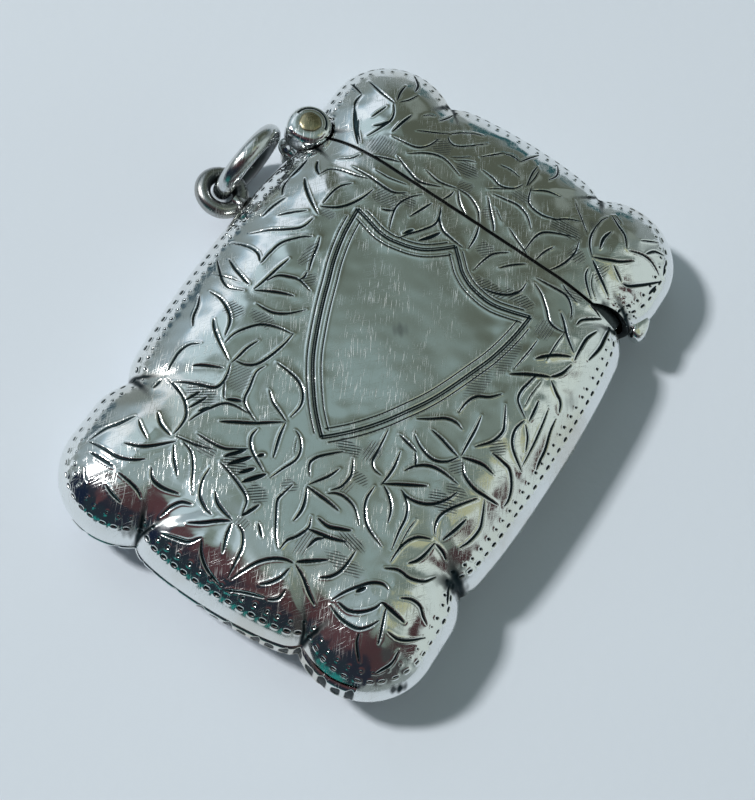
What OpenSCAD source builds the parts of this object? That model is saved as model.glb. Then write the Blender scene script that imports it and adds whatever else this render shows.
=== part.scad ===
// Vesta case with scalloped edges, lying on its back.
// X is the width (hinge at -X), Y is the length (lid at +Y), Z is the thickness (front face up).
// The origin is in the middle of the flat of the back.

/* [Case] */
// Width over the two long sides
case_w = 34.8; // [32:0.1:38]
// Length over the two ends
case_l = 51; // [48:0.5:56]
// Thickness over both faces
case_t = 8.4; // [7.8:0.1:10]
// Thickness of the sheet silver
wall = 0.5; // [0.4:0.05:0.6]
// How far the rolled edge reaches in from the outline
edge_roll = 7.5; // [6.5:0.1:8.5]
// Extra rise of the middle of the front; the middle of the back is flat
crown = 0.3; // [0.15:0.05:0.4]

/* [Scallops] */
// Radius of the four corner lobes
lobe_r = 5.8; // [5.5:0.1:6.1]
// How far the lobes lie inside the long sides
lobe_in = 0.4; // [0:0.1:0.8]
// Straight run of the two lobes at the base
base_lobe_run = 2.8; // [2:0.1:3.4]
// Straight run of the two lobes on the lid
lid_lobe_run = 1.5; // [1:0.1:2]
// Distance of the swelling along each long side from the ends of the case
side_end_in = 10.5; // [10:0.1:11]
// Radius of its rounded ends
side_end_r = 5.3; // [4.5:0.1:6]
// Radius of its gentle outward bow
side_bow_r = 130; // [90:5:200]
// Length of the swelling along each end
end_run = 16.8; // [16:0.2:17.6]
// Radius of its rounded ends
end_end_r = 3.4; // [2.8:0.1:4]
// Radius of its gentle outward bow
end_bow_r = 46; // [36:1:70]
// Depth of the notches in the long sides
side_notch = 1.6; // [1.2:0.1:2]
// Depth of the notches in the ends
end_notch = 1.3; // [1:0.1:1.7]

/* [Lid] */
// Length of the lid on the centre line
lid_l = 11.6; // [10.8:0.1:12.4]
// Fall of the cut towards the thumbpiece, in degrees
lid_slope = 1.9; // [0:0.1:3]
// Gap between lid and body
lid_gap = 0.14; // [0.1:0.02:0.3]
// Reach of the mouth collar into the lid
collar_up = 1.3; // [0.8:0.1:2]
// Reach of the mouth collar into the body
collar_down = 2.4; // [1.5:0.1:4]
// Thickness of the mouth collar
collar_t = 0.35; // [0.25:0.05:0.5]
// Clearance round the mouth collar
collar_gap = 0.1; // [0.06:0.02:0.2]
// Width of the thumbpiece
thumb_d = 2; // [1.8:0.1:2.4]
// How far the thumbpiece stands out from the lid
thumb_out = 0.9; // [0.8:0.1:1.3]
// Thickness of the thumbpiece
thumb_t = 1.2; // [0.8:0.1:1.6]
// Solder gap between the thumbpiece and the lid's lobe
thumb_gap = 0.1; // [0.06:0.02:0.2]
// Height of the thumbpiece over the lid's cut
thumb_up = 2.2; // [1.9:0.1:2.4]

/* [Hinge] */
// Distance of the hinge axis inside the long side
hinge_in = 0.9; // [0.6:0.1:1.2]
// Diameter of the knuckles
knuckle_d = 3.8; // [3.4:0.1:4]
// Length of the three knuckles together
barrel_l = 6.2; // [5.4:0.2:6.8]
// Diameter of the hinge pin
pin_d = 1.5; // [1.2:0.1:1.8]
// Height of the peened ends of the pin
pin_head = 0.2; // [0.1:0.05:0.3]
// Radial clearance of the pin in the knuckles
pin_gap = 0.03; // [0.02:0.01:0.05]
// Gap between knuckles, and from a knuckle to its solder seat
seat_gap = 0.05; // [0.03:0.01:0.1]
// Radial clearance of a knuckle to the part that turns past it
turn_gap = 0.25; // [0.2:0.05:0.4]
// Thickness of the lid's leaf spring
spring_t = 0.3; // [0.2:0.05:0.4]
// Width of the leaf spring
spring_w = 2.4; // [1.8:0.1:3]
// Bend radius of the leaf spring
spring_r = 62; // [50:1:80]
// Length of the leaf spring
spring_l = 17; // [14:0.5:19]

/* [Striker] */
// Width of the ribbed band on the base
striker_w = 1.5; // [1.2:0.1:2]
// Thickness of the band under its ribs
striker_t = 0.1; // [0.08:0.02:0.2]
// Height of the ribs
rib_h = 0.16; // [0.12:0.01:0.3]
// Number of ribs
ribs = 22; // [16:1:28]
// Share of a rib's pitch that is rib
rib_share = 0.28; // [0.25:0.01:0.5]
// Length of the band across the base
striker_l = 27; // [24:0.5:28]
// Height of the band over the middle plane, in the middle of the base
striker_z = -0.4; // [-0.6:0.1:0.4]
// Rise of the band away from the hinge side, in degrees
striker_tilt = 4.5; // [0:0.5:5]

/* [Rings] */
// Place of the fixed eye along the length
eye_y = 5.8; // [3:0.1:7]
// Diameter of the eye over its wire
eye_d = 4.4; // [4.2:0.1:5]
// Thickness of the eye's wire
eye_wire = 1.2; // [1:0.05:1.25]
// Diameter of the jump ring over its wire
ring_d = 8; // [7:0.1:8]
// Thickness of the jump ring's wire
ring_wire = 1.4; // [1:0.05:1.45]
// Angle that the jump ring leans towards the case, in degrees
ring_yaw = 4; // [0:1:8]

/* [Hidden] */
$fn = 64;

half_w = case_w / 2;
half_l = case_l / 2;
side_run = case_l - 2 * side_end_in;
lid_y = half_l - lid_l;
shoulder_h = (case_t - crown) / 2;
mid_z = shoulder_h;
lobe_x = half_w - lobe_in - lobe_r;
lobe_y = half_l - lobe_r;
core_x = half_w - side_notch;
core_y = half_l - end_notch;
hinge_x = half_w - hinge_in;
hinge = [-hinge_x, lid_y + hinge_x * tan(lid_slope), mid_z];
knuckle_l = (barrel_l - 2 * seat_gap) / 3;
knuckle_r = knuckle_d / 2;
eye_r = (eye_d - eye_wire) / 2;
eye_foot = 0.7;
knuckle_soft = 0.35;
rib_flank = 0.06;
ring_r = (ring_d - ring_wire) / 2;
eye = [-half_w - eye_d / 2, eye_y, mid_z];
far = 40;
roll_steps = 6;
crown_scales = [0.93, 0.84, 0.6, 0.3];
body_steps = [22, 18, 14, 18, 22];
lid_steps = [15, 14, 15];
collar_steps = 40;
last_inset = 0.62 * lobe_r;

// Depth of a point inside a rounded rectangle
function box_depth(x, y, hx, hy, r) =
    let (qx = abs(x) - hx + r, qy = abs(y) - hy + r)
    r - norm([max(qx, 0), max(qy, 0)]) - min(max(qx, qy), 0);

// Depth of a point inside each swelling of the case
function side_depth(x, y) =
    min(box_depth(x, y, half_w, side_run / 2, side_end_r),
        side_bow_r - norm([abs(x) - half_w + side_bow_r, y]));
function end_depth(x, y) =
    min(box_depth(x, y, end_run / 2, half_l, end_end_r),
        end_bow_r - norm([x, abs(y) - half_l + end_bow_r]));
function lobe_depth(x, y) =
    let (run = y > 0 ? lid_lobe_run : base_lobe_run)
    lobe_r - norm([abs(x) - lobe_x, max(abs(y) - lobe_y, lobe_y - run - abs(y), 0)]);
function core_depth(x, y) = box_depth(x, y, core_x, core_y, lobe_r);
function depth(x, y) =
    max(side_depth(x, y), end_depth(x, y), lobe_depth(x, y), core_depth(x, y));

// Where the valleys start: half way between the two swellings that meet at a notch
function half_chord(r, h) = sqrt(max(r * r - h * h, 0));
side_valley_y = (side_run / 2 - side_end_r + half_chord(side_end_r, side_end_r - side_notch)
    + lobe_y - base_lobe_run - half_chord(lobe_r, core_x - lobe_x)) / 2;
end_valley_x = (end_run / 2 - end_end_r + half_chord(end_end_r, end_end_r - end_notch)
    + lobe_x - half_chord(lobe_r, core_y - lobe_y)) / 2;

// Height of a face over the middle plane: an elliptical roll, then a gentle crown
function roll_h(d, skin) =
    let (reach = edge_roll - skin, s = 1 - min(d - skin, reach) / reach)
    (shoulder_h - skin) * sqrt(max(1 - s * s, 0));
function roll_inset(z, skin) =
    skin + (edge_roll - skin) * (1 - sqrt(1 - pow(z / (shoulder_h - skin), 2)));
function crown_h(x, y, up) = up < 0 ? 0
    : crown * max(1 - pow(x / half_w, 2), 0) * max(1 - pow(y / half_l, 2), 0);
function face_h(x, y, skin, up) = roll_h(max(depth(x, y), skin), skin) + crown_h(x, y, up);
function side_x(y) = half_w - side_bow_r + sqrt(side_bow_r * side_bow_r - y * y);

// Distance from p along u to where the outline, set in by d, is crossed
function crossing(p, u, d, lo = 0, hi = far, n = 24) =
    let (m = (lo + hi) / 2)
    n == 0 ? m
    : depth(p[0] + m * u[0], p[1] + m * u[1]) > d ? crossing(p, u, d, m, hi, n - 1)
    : crossing(p, u, d, lo, m, n - 1);
function outline_point(a, d) = crossing([0, 0], [cos(a), sin(a)], d) * [cos(a), sin(a)];

// Where the cut at height y leaves the outline, on the side s
function cut_point(y, s, d) =
    let (u = [s * cos(lid_slope), -s * sin(lid_slope)])
    [0, y] + crossing([0, y], u, d) * u;
function bearing(p) = let (a = atan2(p[1], p[0])) a < 0 ? a + 360 : a;

// Angles of the cut and of the valleys round the body or the lid, at the inset d
function stations(y, d, is_lid) =
    let (right = bearing(cut_point(y, 1, d)), left = bearing(cut_point(y, -1, d)),
        end_a = atan2(core_y - d, end_valley_x), side_a = atan2(side_valley_y, core_x - d))
    is_lid ? [right, end_a, 180 - end_a, left]
    : [right + 360, 360 - side_a, 360 - end_a, 180 + end_a, 180 + side_a, left];

// One line of points round the body or the lid, from one end of the cut to the other
function rim_line(y, d, is_lid) =
    let (at = stations(y, d, is_lid), steps = is_lid ? lid_steps : body_steps,
        angles = [for (i = [0 : len(steps) - 1]) for (k = [0 : steps[i] - 1])
            at[i] + (at[i + 1] - at[i]) * k / steps[i]])
    concat([cut_point(y, 1, d)], [for (k = [1 : len(angles) - 1]) outline_point(angles[k], d)],
        [cut_point(y, -1, d)]);

// A face of the body or lid as rows of points, from the middle plane over the roll to the crown
function face_rows(y, is_lid, skin, up) =
    let (reach = edge_roll - skin, turn = acos(1 - (last_inset - skin) / reach) / roll_steps,
        rings = [for (j = [0 : roll_steps]) rim_line(y, skin + reach * (1 - cos(turn * j)), is_lid)],
        pole = [0, y])
    concat(
        [for (j = [0 : roll_steps]) [for (p = rings[j])
            [p[0], p[1], mid_z + up * ((shoulder_h - skin) * sin(turn * j)
                + (j == 0 ? 0 : crown_h(p[0], p[1], up)))]]],
        [for (k = crown_scales) [for (p = rings[roll_steps])
            let (q = pole + (p - pole) * k)
            [q[0], q[1], mid_z + up * face_h(q[0], q[1], skin, up)]]]);

// The middle of the cut, at the top of a face
function face_pole(y, skin, up) = [0, y, mid_z + up * face_h(0, y, skin, up)];

// A closed sheet between two grids of points; the two poles, if given, close its last rows
module sheet(outer, inner, poles, flip) {
    rows = len(outer);
    cols = len(outer[0]);
    n = rows * cols;
    p = 2 * n;
    q = p + 1;
    last = n - cols;
    skins = [for (j = [0 : rows - 2]) for (k = [0 : cols - 2])
        let (a = j * cols + k, b = a + 1, c = b + cols, d = a + cols)
        each 2 * k < cols - 2
            ? [[a, b, d], [b, c, d], [n + a, n + d, n + b], [n + b, n + d, n + c]]
            : [[a, b, c], [a, c, d], [n + a, n + c, n + b], [n + a, n + d, n + c]]];
    rim = [for (k = [0 : cols - 2]) each [[k, n + k, n + k + 1], [k, n + k + 1, k + 1]]];
    sides = [for (j = [0 : rows - 2]) for (e = [0, 1])
        let (a = j * cols + e * (cols - 1), b = a + cols)
        each e == 0 ? [[a, b, n + b], [a, n + b, n + a]] : [[a, n + b, b], [a, n + a, n + b]]];
    open_top = [for (k = [last : last + cols - 2])
        each [[k, n + k + 1, n + k], [k, k + 1, n + k + 1]]];
    closed_top = concat(
        [for (k = [last : last + cols - 2]) each [[k, k + 1, p], [n + k, q, n + k + 1]]],
        [[last, p, q], [last, q, n + last], [n - 1, q, p], [n - 1, p - 1, q]]);
    all = concat(skins, rim, sides, len(poles) == 0 ? open_top : closed_top);
    polyhedron(points = concat([for (r = outer) each r], [for (r = inner) each r], poles),
        faces = flip ? [for (f = all) [f[2], f[1], f[0]]] : all);
}

// Sheet-silver face of the body or the lid, open at the middle plane and at the cut
module face_shell(is_lid, up) {
    y = lid_y + (is_lid ? 1 : -1) * lid_gap / 2;
    difference() {
        sheet(face_rows(y, is_lid, 0, up), face_rows(y, is_lid, wall, up),
            [face_pole(y, 0, up), face_pole(y, wall, up)], is_lid ? up > 0 : up < 0);
        hinge_room(is_lid);
    }
}

// The room that the hinge barrel takes: snug round a part's own knuckles, free round the others
module hinge_room(is_lid) {
    own = knuckle_r + seat_gap;
    past = knuckle_r + turn_gap;
    third = knuckle_l + 2 * seat_gap;
    translate(hinge) {
        cylinder(h = case_t, r = own, center = true);
        if (!is_lid) cylinder(h = third, r = past, center = true);
        if (is_lid) for (s = [-1, 1])
            translate([0, 0, s * (knuckle_l / 2 + case_t / 2)])
                cylinder(h = case_t, r = past, center = true);
    }
}

// One turned knuckle with softened outer edges, bored for the pin
module knuckle(soft) {
    bore = pin_d / 2 + pin_gap;
    rotate_extrude()
        polygon([[bore, -knuckle_l / 2], [knuckle_r, -knuckle_l / 2], [knuckle_r, knuckle_l / 2 - soft],
            [knuckle_r - soft, knuckle_l / 2], [bore, knuckle_l / 2]]);
}

module front_shell() {
    color("silver") face_shell(false, 1);
}

module back_shell() {
    color("silver") face_shell(false, -1);
}

module lid_front_shell() {
    color("silver") face_shell(true, 1);
}

module lid_back_shell() {
    color("silver") face_shell(true, -1);
}

// Section of the mouth on the cut, set in from the shell by the given skin
function mouth(skin) =
    let (right = cut_point(lid_y, 1, skin), left = cut_point(lid_y, -1, skin),
        line = [for (k = [0 : collar_steps]) let (t = (1 - cos(180 * k / collar_steps)) / 2)
            left + (right - left) * t],
        front = [for (p = line) [p[0] / cos(lid_slope), face_h(p[0], p[1], skin, 1)]],
        back = [for (p = line) [p[0] / cos(lid_slope), -face_h(p[0], p[1], skin, -1)]])
    concat(front, [for (k = [collar_steps - 1 : -1 : 1]) back[k]]);

// Inner rim, soldered into the mouth of the body, that the lid shuts over
module mouth_collar() {
    color("silver") difference() {
        translate([0, lid_y, mid_z]) rotate([90, 0, -lid_slope])
            translate([0, 0, -collar_up]) linear_extrude(collar_up + collar_down) difference() {
                polygon(mouth(wall + collar_gap));
                polygon(mouth(wall + collar_gap + collar_t));
            }
        translate(hinge) cylinder(h = case_t, r = knuckle_r + turn_gap, center = true);
    }
}

// Ribbed band along the scalloped base, on which the matches are struck
module striker() {
    at = striker_l / 2;
    marks = concat([for (i = [0 : ribs - 1]) each
        [[i, 0], [i + rib_flank, 1], [i + rib_share, 1], [i + rib_share + rib_flank, 0]]], [[ribs, 0]]);
    heights = [-1, -0.6, -0.2, 0.2, 0.6, 1] * striker_w / 2;
    function row(h, out) = [for (m = marks)
        let (along = at * (2 * m[0] / ribs - 1), z = h + striker_z + along * tan(striker_tilt),
            p = outline_point(atan2(-half_l, along),
                roll_inset(z, 0) - seat_gap - out * (striker_t + rib_h * m[1])))
        [p[0], p[1], mid_z + z]];
    color("dimgray") sheet([for (h = heights) row(h, 1)], [for (h = heights) row(h, 0)], [], false);
}

// The knuckles at the two ends of the barrel, soldered to the body
module front_knuckle() {
    color("silver") translate(hinge) translate([0, 0, knuckle_l + seat_gap]) knuckle(knuckle_soft);
}

module back_knuckle() {
    color("silver") translate(hinge) mirror([0, 0, 1])
        translate([0, 0, knuckle_l + seat_gap]) knuckle(knuckle_soft);
}

// Pin through all three knuckles, with low peened ends
module hinge_pin() {
    r = pin_d / 2;
    head_r = (r * r + pin_head * pin_head) / (2 * pin_head);
    color("gray") translate(hinge) rotate_extrude() {
        translate([0, -barrel_l / 2]) square([r, barrel_l]);
        for (s = [0, 1]) mirror([0, s]) translate([0, barrel_l / 2]) intersection() {
            translate([0, pin_head - head_r]) circle(r = head_r);
            square([r, pin_head]);
        }
    }
}

// Middle knuckle, soldered to the lid
module lid_knuckle() {
    color("silver") translate(hinge) knuckle(0);
}

// Bent steel leaf along the hinge side that keeps the lid shut or open
module lid_spring() {
    mid_y = hinge[1] - collar_down - turn_gap - spring_l / 2;
    outside = side_x(mid_y) - roll_inset(spring_w / 2, wall) - seat_gap;
    sweep = spring_l / spring_r * 180 / PI;
    color("slategray") translate([spring_r - outside, mid_y, mid_z - spring_w / 2])
        rotate(180 - sweep / 2) rotate_extrude(angle = sweep)
            translate([spring_r - spring_t, 0]) square([spring_t, spring_w]);
}

// Small tab on the lid's corner that the thumb pushes, set against the lobe and the notch
module thumbpiece() {
    lobe = [lobe_x, lobe_y - lid_lobe_run, mid_z];
    out = lobe_r + thumb_out - thumb_d / 2;
    cut_y = lid_y - half_w * tan(lid_slope);
    edge = thumb_t / 2;
    color("silver") difference() {
        translate(lobe) rotate(-asin((lobe[1] - cut_y - thumb_up) / out)) translate([out, 0, 0])
            rotate_extrude() {
                translate([thumb_d / 2 - edge, 0]) intersection() {
                    circle(r = edge);
                    translate([0, -edge]) square([edge, thumb_t]);
                }
                translate([0, -edge]) square([thumb_d / 2 - edge, thumb_t]);
            }
        translate(lobe) cylinder(h = case_t, r = lobe_r + thumb_gap, center = true);
        translate([0, 0, mid_z - edge]) cube([core_x + turn_gap, half_l, thumb_t]);
    }
}

// Fixed wire eye on the hinge side, with its soldered foot
module ring_eye() {
    foot_l = -side_x(eye_y) - seat_gap - eye[0] - eye_r;
    color("silver") translate(eye) {
        rotate_extrude() translate([eye_r, 0]) circle(d = eye_wire);
        translate([eye_r, 0, 0]) rotate([0, 90, 0]) cylinder(h = foot_l, r = eye_foot);
    }
}

// Loose ring for a watch chain, standing through the eye
module jump_ring() {
    color("silver") translate(eye) rotate(-ring_yaw) translate([0, ring_r, 0])
        rotate([0, 90, 0]) rotate_extrude() translate([ring_r, 0]) circle(d = ring_wire);
}

front_shell();
back_shell();
mouth_collar();
striker();
front_knuckle();
back_knuckle();
hinge_pin();
lid_spring();
ring_eye();
lid_front_shell();
lid_back_shell();
lid_knuckle();
thumbpiece();
jump_ring();
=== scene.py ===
# %% [markdown]
# # An engraved vesta case
# A vesta case is a flat pocket box for wax matches. This one is stamped from thin sheet silver,
# with scalloped, rolled edges, leaves cut into it by hand, an empty shield, a lid that swings on
# a side hinge, a ribbed striker along the base and a loose ring for a watch chain.
# The solid model gives the measured frame: every piece made below sits where its solid sits.

# %% The measured frame
import math
import time

import bpy
import numpy as np
from mathutils import Matrix, Vector


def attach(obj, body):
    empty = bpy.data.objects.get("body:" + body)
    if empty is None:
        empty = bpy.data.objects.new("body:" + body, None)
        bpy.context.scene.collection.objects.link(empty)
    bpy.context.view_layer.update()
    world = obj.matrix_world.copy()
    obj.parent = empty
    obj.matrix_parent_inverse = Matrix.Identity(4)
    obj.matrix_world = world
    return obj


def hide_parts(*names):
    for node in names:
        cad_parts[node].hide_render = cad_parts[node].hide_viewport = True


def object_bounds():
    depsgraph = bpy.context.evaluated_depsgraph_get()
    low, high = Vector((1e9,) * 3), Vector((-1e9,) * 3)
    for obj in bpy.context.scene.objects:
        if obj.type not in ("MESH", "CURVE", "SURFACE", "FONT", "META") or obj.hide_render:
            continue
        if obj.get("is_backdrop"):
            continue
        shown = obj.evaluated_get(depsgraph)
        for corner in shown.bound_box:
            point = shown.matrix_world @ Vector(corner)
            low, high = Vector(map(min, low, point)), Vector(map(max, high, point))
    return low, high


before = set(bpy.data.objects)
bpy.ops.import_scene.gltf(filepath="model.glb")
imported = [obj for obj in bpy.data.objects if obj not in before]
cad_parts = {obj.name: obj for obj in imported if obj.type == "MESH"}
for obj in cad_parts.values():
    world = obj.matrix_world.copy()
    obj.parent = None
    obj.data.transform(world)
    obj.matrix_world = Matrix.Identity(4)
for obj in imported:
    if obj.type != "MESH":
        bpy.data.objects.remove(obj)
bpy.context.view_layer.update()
bpy.context.scene.view_settings.view_transform = "Standard"
started = time.time()
MM = 0.001
print("solid pieces:", len(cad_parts))

# %% [markdown]
# ## The camera
# The case was pictured from above its base, a little from the right, with the camera rolled so
# that the case lies aslant. A camera's matrix has its right, up and backward directions as
# columns, so it is built from the three angles directly. Aiming it at an empty would be easier
# to read, but leaves no way to set the roll exactly.

# %% Camera
AZIMUTH, ELEVATION, ROLL = math.radians(13.9), math.radians(65.84), math.radians(19.57)
FOCAL_PX, LONG_SIDE_PX, SENSOR_MM = 1931.48, 800, 36
CAMERA_AT = Vector((17.142, -65.958, 149.211)) * MM

backward = Vector((math.sin(AZIMUTH) * math.cos(ELEVATION),
                   -math.cos(AZIMUTH) * math.cos(ELEVATION), math.sin(ELEVATION)))
level = Vector((math.cos(AZIMUTH), math.sin(AZIMUTH), 0))
upward = backward.cross(level)
rolled_right = math.cos(ROLL) * level + math.sin(ROLL) * upward
rolled_up = math.cos(ROLL) * upward - math.sin(ROLL) * level

camera = bpy.data.objects.new("camera", bpy.data.cameras.new("camera"))
bpy.context.scene.collection.objects.link(camera)
camera.data.sensor_width = SENSOR_MM
camera.data.lens = SENSOR_MM * FOCAL_PX / LONG_SIDE_PX
camera.data.clip_start, camera.data.clip_end = 0.01, 10
turned = Matrix((rolled_right, rolled_up, backward)).transposed()
camera.matrix_world = Matrix.Translation(CAMERA_AT) @ turned.to_4x4()
bpy.context.scene.camera = camera
print("lens:", round(camera.data.lens, 1), "mm")

# %% [markdown]
# ## Helpers for node trees
# Materials, the world and the shared effects below are all node trees. They could be clicked
# together in the editor; written as code they can be read, repeated and changed. A few small
# helpers keep that short: one adds a node and fills its sockets, one joins or sets a socket, and
# three do a step of arithmetic, mix two colours and make a soft step.

# %% Node helpers
def add_node(tree, kind, settings=None, **sockets):
    """A new node; settings are its properties, sockets its inputs by name, as values or links."""
    node = tree.nodes.new(kind)
    for key, value in (settings or {}).items():
        setattr(node, key, value)
    for key, value in sockets.items():
        plug(tree, node.inputs[key.replace("_", " ")], value)
    return node


def plug(tree, socket, value):
    """Links an output to the socket, or sets the socket's own value."""
    if isinstance(value, bpy.types.NodeSocket):
        tree.links.new(value, socket)
    else:
        socket.default_value = value


def maths(tree, operation, a, b=0.0, clamp=False):
    """One step of arithmetic between two values."""
    node = tree.nodes.new("ShaderNodeMath")
    node.operation = operation
    node.use_clamp = clamp
    plug(tree, node.inputs[0], a)
    plug(tree, node.inputs[1], b)
    return node.outputs[0]


def blend(tree, share, a, b):
    """The colour a, turning into b as share goes from 0 to 1."""
    node = tree.nodes.new("ShaderNodeMix")
    node.data_type = "RGBA"
    plug(tree, node.inputs["Factor"], share)
    for socket, value in zip([s for s in node.inputs if s.type == "RGBA"], (a, b)):
        plug(tree, socket, value)
    return [s for s in node.outputs if s.type == "RGBA"][0]


def ease(tree, value, low, high):
    """A smooth step from 0 at low to 1 at high."""
    node = tree.nodes.new("ShaderNodeMapRange")
    node.interpolation_type = "SMOOTHSTEP"
    plug(tree, node.inputs["Value"], value)
    node.inputs["From Min"].default_value = low
    node.inputs["From Max"].default_value = high
    return node.outputs["Result"]


print("node helpers: add_node, plug, maths, blend, ease")

# %% [markdown]
# ## Paper floor
# The case lies on a sheet of pale, cool paper. One flat square does for it: a faint cloud in the
# colour and a fibre too fine to see singly keep it from looking like a blank wall. It is marked as
# backdrop, so it is no part of the case.

# %% Paper floor
FLOOR_HALF = 0.9


def make_floor():
    mesh = bpy.data.meshes.new("paper")
    half = FLOOR_HALF
    corners = [(-half, -half, 0), (half, -half, 0), (half, half, 0), (-half, half, 0)]
    mesh.from_pydata(corners, [], [(0, 1, 2, 3)])
    floor = bpy.data.objects.new("paper", mesh)
    bpy.context.scene.collection.objects.link(floor)
    material = bpy.data.materials.new("pale_paper")
    material.use_nodes = True
    tree = material.node_tree
    shader = tree.nodes["Principled BSDF"]
    where = add_node(tree, "ShaderNodeTexCoord").outputs["Object"]
    fibre = add_node(tree, "ShaderNodeTexNoise", Vector=where, Scale=900.0, Detail=6.0)
    cloud = add_node(tree, "ShaderNodeTexNoise", Vector=where, Scale=22.0, Detail=2.0)
    plug(tree, shader.inputs["Base Color"],
         blend(tree, cloud.outputs["Fac"], (0.66, 0.72, 0.79, 1), (0.70, 0.76, 0.83, 1)))
    shader.inputs["Roughness"].default_value = 0.75
    bump = add_node(tree, "ShaderNodeBump", Strength=0.08, Distance=0.0003,
                    Height=fibre.outputs["Fac"])
    plug(tree, shader.inputs["Normal"], bump.outputs["Normal"])
    mesh.materials.append(material)
    floor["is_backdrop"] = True


make_floor()
print("floor: paper,", 2 * FLOOR_HALF, "m square")

# %% [markdown]
# ## Lamp
# The light comes from one window on the hinge side. A sun lamp would draw a hard shadow; a square
# area lamp some way off gives the soft-edged one that a window gives.

# %% Lamp
WINDOW = (-0.656, -0.208, 0.725)


def make_lamp(name, direction, distance, size, power, colour):
    """A square lamp that looks at the case from the given direction."""
    data = bpy.data.lights.new(name, "AREA")
    data.size = size
    data.energy = power
    data.color = colour
    lamp = bpy.data.objects.new(name, data)
    bpy.context.scene.collection.objects.link(lamp)
    away = Vector(direction).normalized()
    lamp.location = away * distance
    lamp.rotation_euler = away.to_track_quat("Z", "Y").to_euler()


make_lamp("window", WINDOW, distance=2.0, size=0.24, power=34.0, colour=(1.0, 0.99, 0.98))
print("lamp: one soft window on the hinge side")

# %% [markdown]
# ## Room
# Polished silver has no colour of its own to speak of: it shows the room. So the room matters as
# much as the metal: a grey-green ceiling, a bright wall on either side, and a dark, reddish side
# past the base end. Cards could be stood round the case, but each would need placing by eye and
# would cast a shadow. Instead the room is painted on the world by direction, as soft round patches
# laid over each other: a row below is a direction, the patch's outer and full angles in degrees,
# its colour, and how ragged its edge is.

# %% Patches of the room
# by height first: share of the way up, and colour
ROOM_HEIGHTS = [(0.0, (0.24, 0.28, 0.285)), (0.35, (0.21, 0.25, 0.245)),
                (0.70, (0.125, 0.165, 0.15)), (1.0, (0.19, 0.24, 0.21))]
ROOM_PATCHES = [
    # window wall on the hinge side
    ((-0.72, 0.10, 0.66), 38, 14, (0.31, 0.39, 0.43), 0.06),
    ((-0.68, 0.34, 0.65), 17, 6, (0.42, 0.56, 0.66), 0.0),
    ((-0.69, 0.31, 0.66), 11, 4, (0.86, 0.94, 1.0), 0.0),
    ((-0.57, 0.53, 0.63), 9, 4, (0.80, 0.88, 0.96), 0.0),
    ((-0.45, 0.30, 0.84), 11, 5, (0.50, 0.63, 0.67), 0.02),
    ((-0.93, 0.36, 0.06), 8, 5, (0.045, 0.085, 0.11), 0.03),
    # ceiling
    ((0.02, 0.02, 1.00), 16, 6, (0.28, 0.36, 0.37), 0.03),
    ((-0.10, 0.31, 0.945), 9, 3, (0.25, 0.335, 0.33), 0.02),
    ((-0.28, -0.20, 0.94), 13, 5, (0.48, 0.60, 0.65), 0.03),
    # glow of the window itself
    (WINDOW, 12, 5, (0.80, 0.90, 1.0), 0.0),
    # pale wall on the other side, with cream and brown low on it
    ((0.84, 0.40, 0.32), 38, 20, (0.55, 0.63, 0.61), 0.1),
    ((0.56, 0.34, 0.75), 17, 11, (0.58, 0.66, 0.62), 0.05),
    ((0.42, 0.27, 0.87), 7.5, 5.5, (0.40, 0.42, 0.27), 0.05),
    ((0.79, 0.10, 0.60), 11, 9, (0.055, 0.029, 0.032), 0.04),
    ((0.70, 0.33, 0.63), 6.5, 5, (0.06, 0.032, 0.034), 0.04),
    ((0.68, -0.10, 0.72), 9, 7, (0.055, 0.034, 0.037), 0.04),
    # olive side past the lid
    ((-0.12, 0.81, 0.57), 31, 16, (0.088, 0.102, 0.078), 0.15),
    ((0.16, 0.80, 0.58), 14, 8, (0.20, 0.235, 0.21), 0.03),
    ((-0.10, 0.99, 0.05), 8, 6, (0.020, 0.080, 0.090), 0.06),
    # dark side past the base
    ((0.60, -0.55, 0.58), 24, 17, (0.050, 0.050, 0.052), 0.12),
    ((-0.50, -0.64, 0.58), 22, 17, (0.022, 0.024, 0.046), 0.10),
    ((-0.08, -0.88, 0.47), 37, 32, (0.018, 0.022, 0.034), 0.12),
    ((-0.25, -0.95, 0.08), 38, 32, (0.018, 0.028, 0.038), 0.12),
    # reddish, higher up
    ((-0.28, -0.54, 0.79), 13.5, 11.5, (0.085, 0.041, 0.047), 0.07),
    ((0.05, -0.53, 0.85), 13.5, 11.5, (0.080, 0.038, 0.043), 0.07),
    ((0.34, -0.45, 0.83), 13, 10, (0.062, 0.034, 0.038), 0.07),
    # teal, low down
    ((-0.30, -0.94, 0.15), 7, 5, (0.020, 0.20, 0.19), 0.04),
    ((-0.08, -0.98, 0.17), 8, 6, (0.020, 0.22, 0.21), 0.04),
    ((0.14, -0.975, 0.17), 8, 5.5, (0.025, 0.20, 0.18), 0.04),
    # deep blue beside it
    ((-0.74, -0.60, 0.30), 17, 13, (0.008, 0.015, 0.035), 0.08),
]
print("room patches:", len(ROOM_PATCHES))


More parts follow.
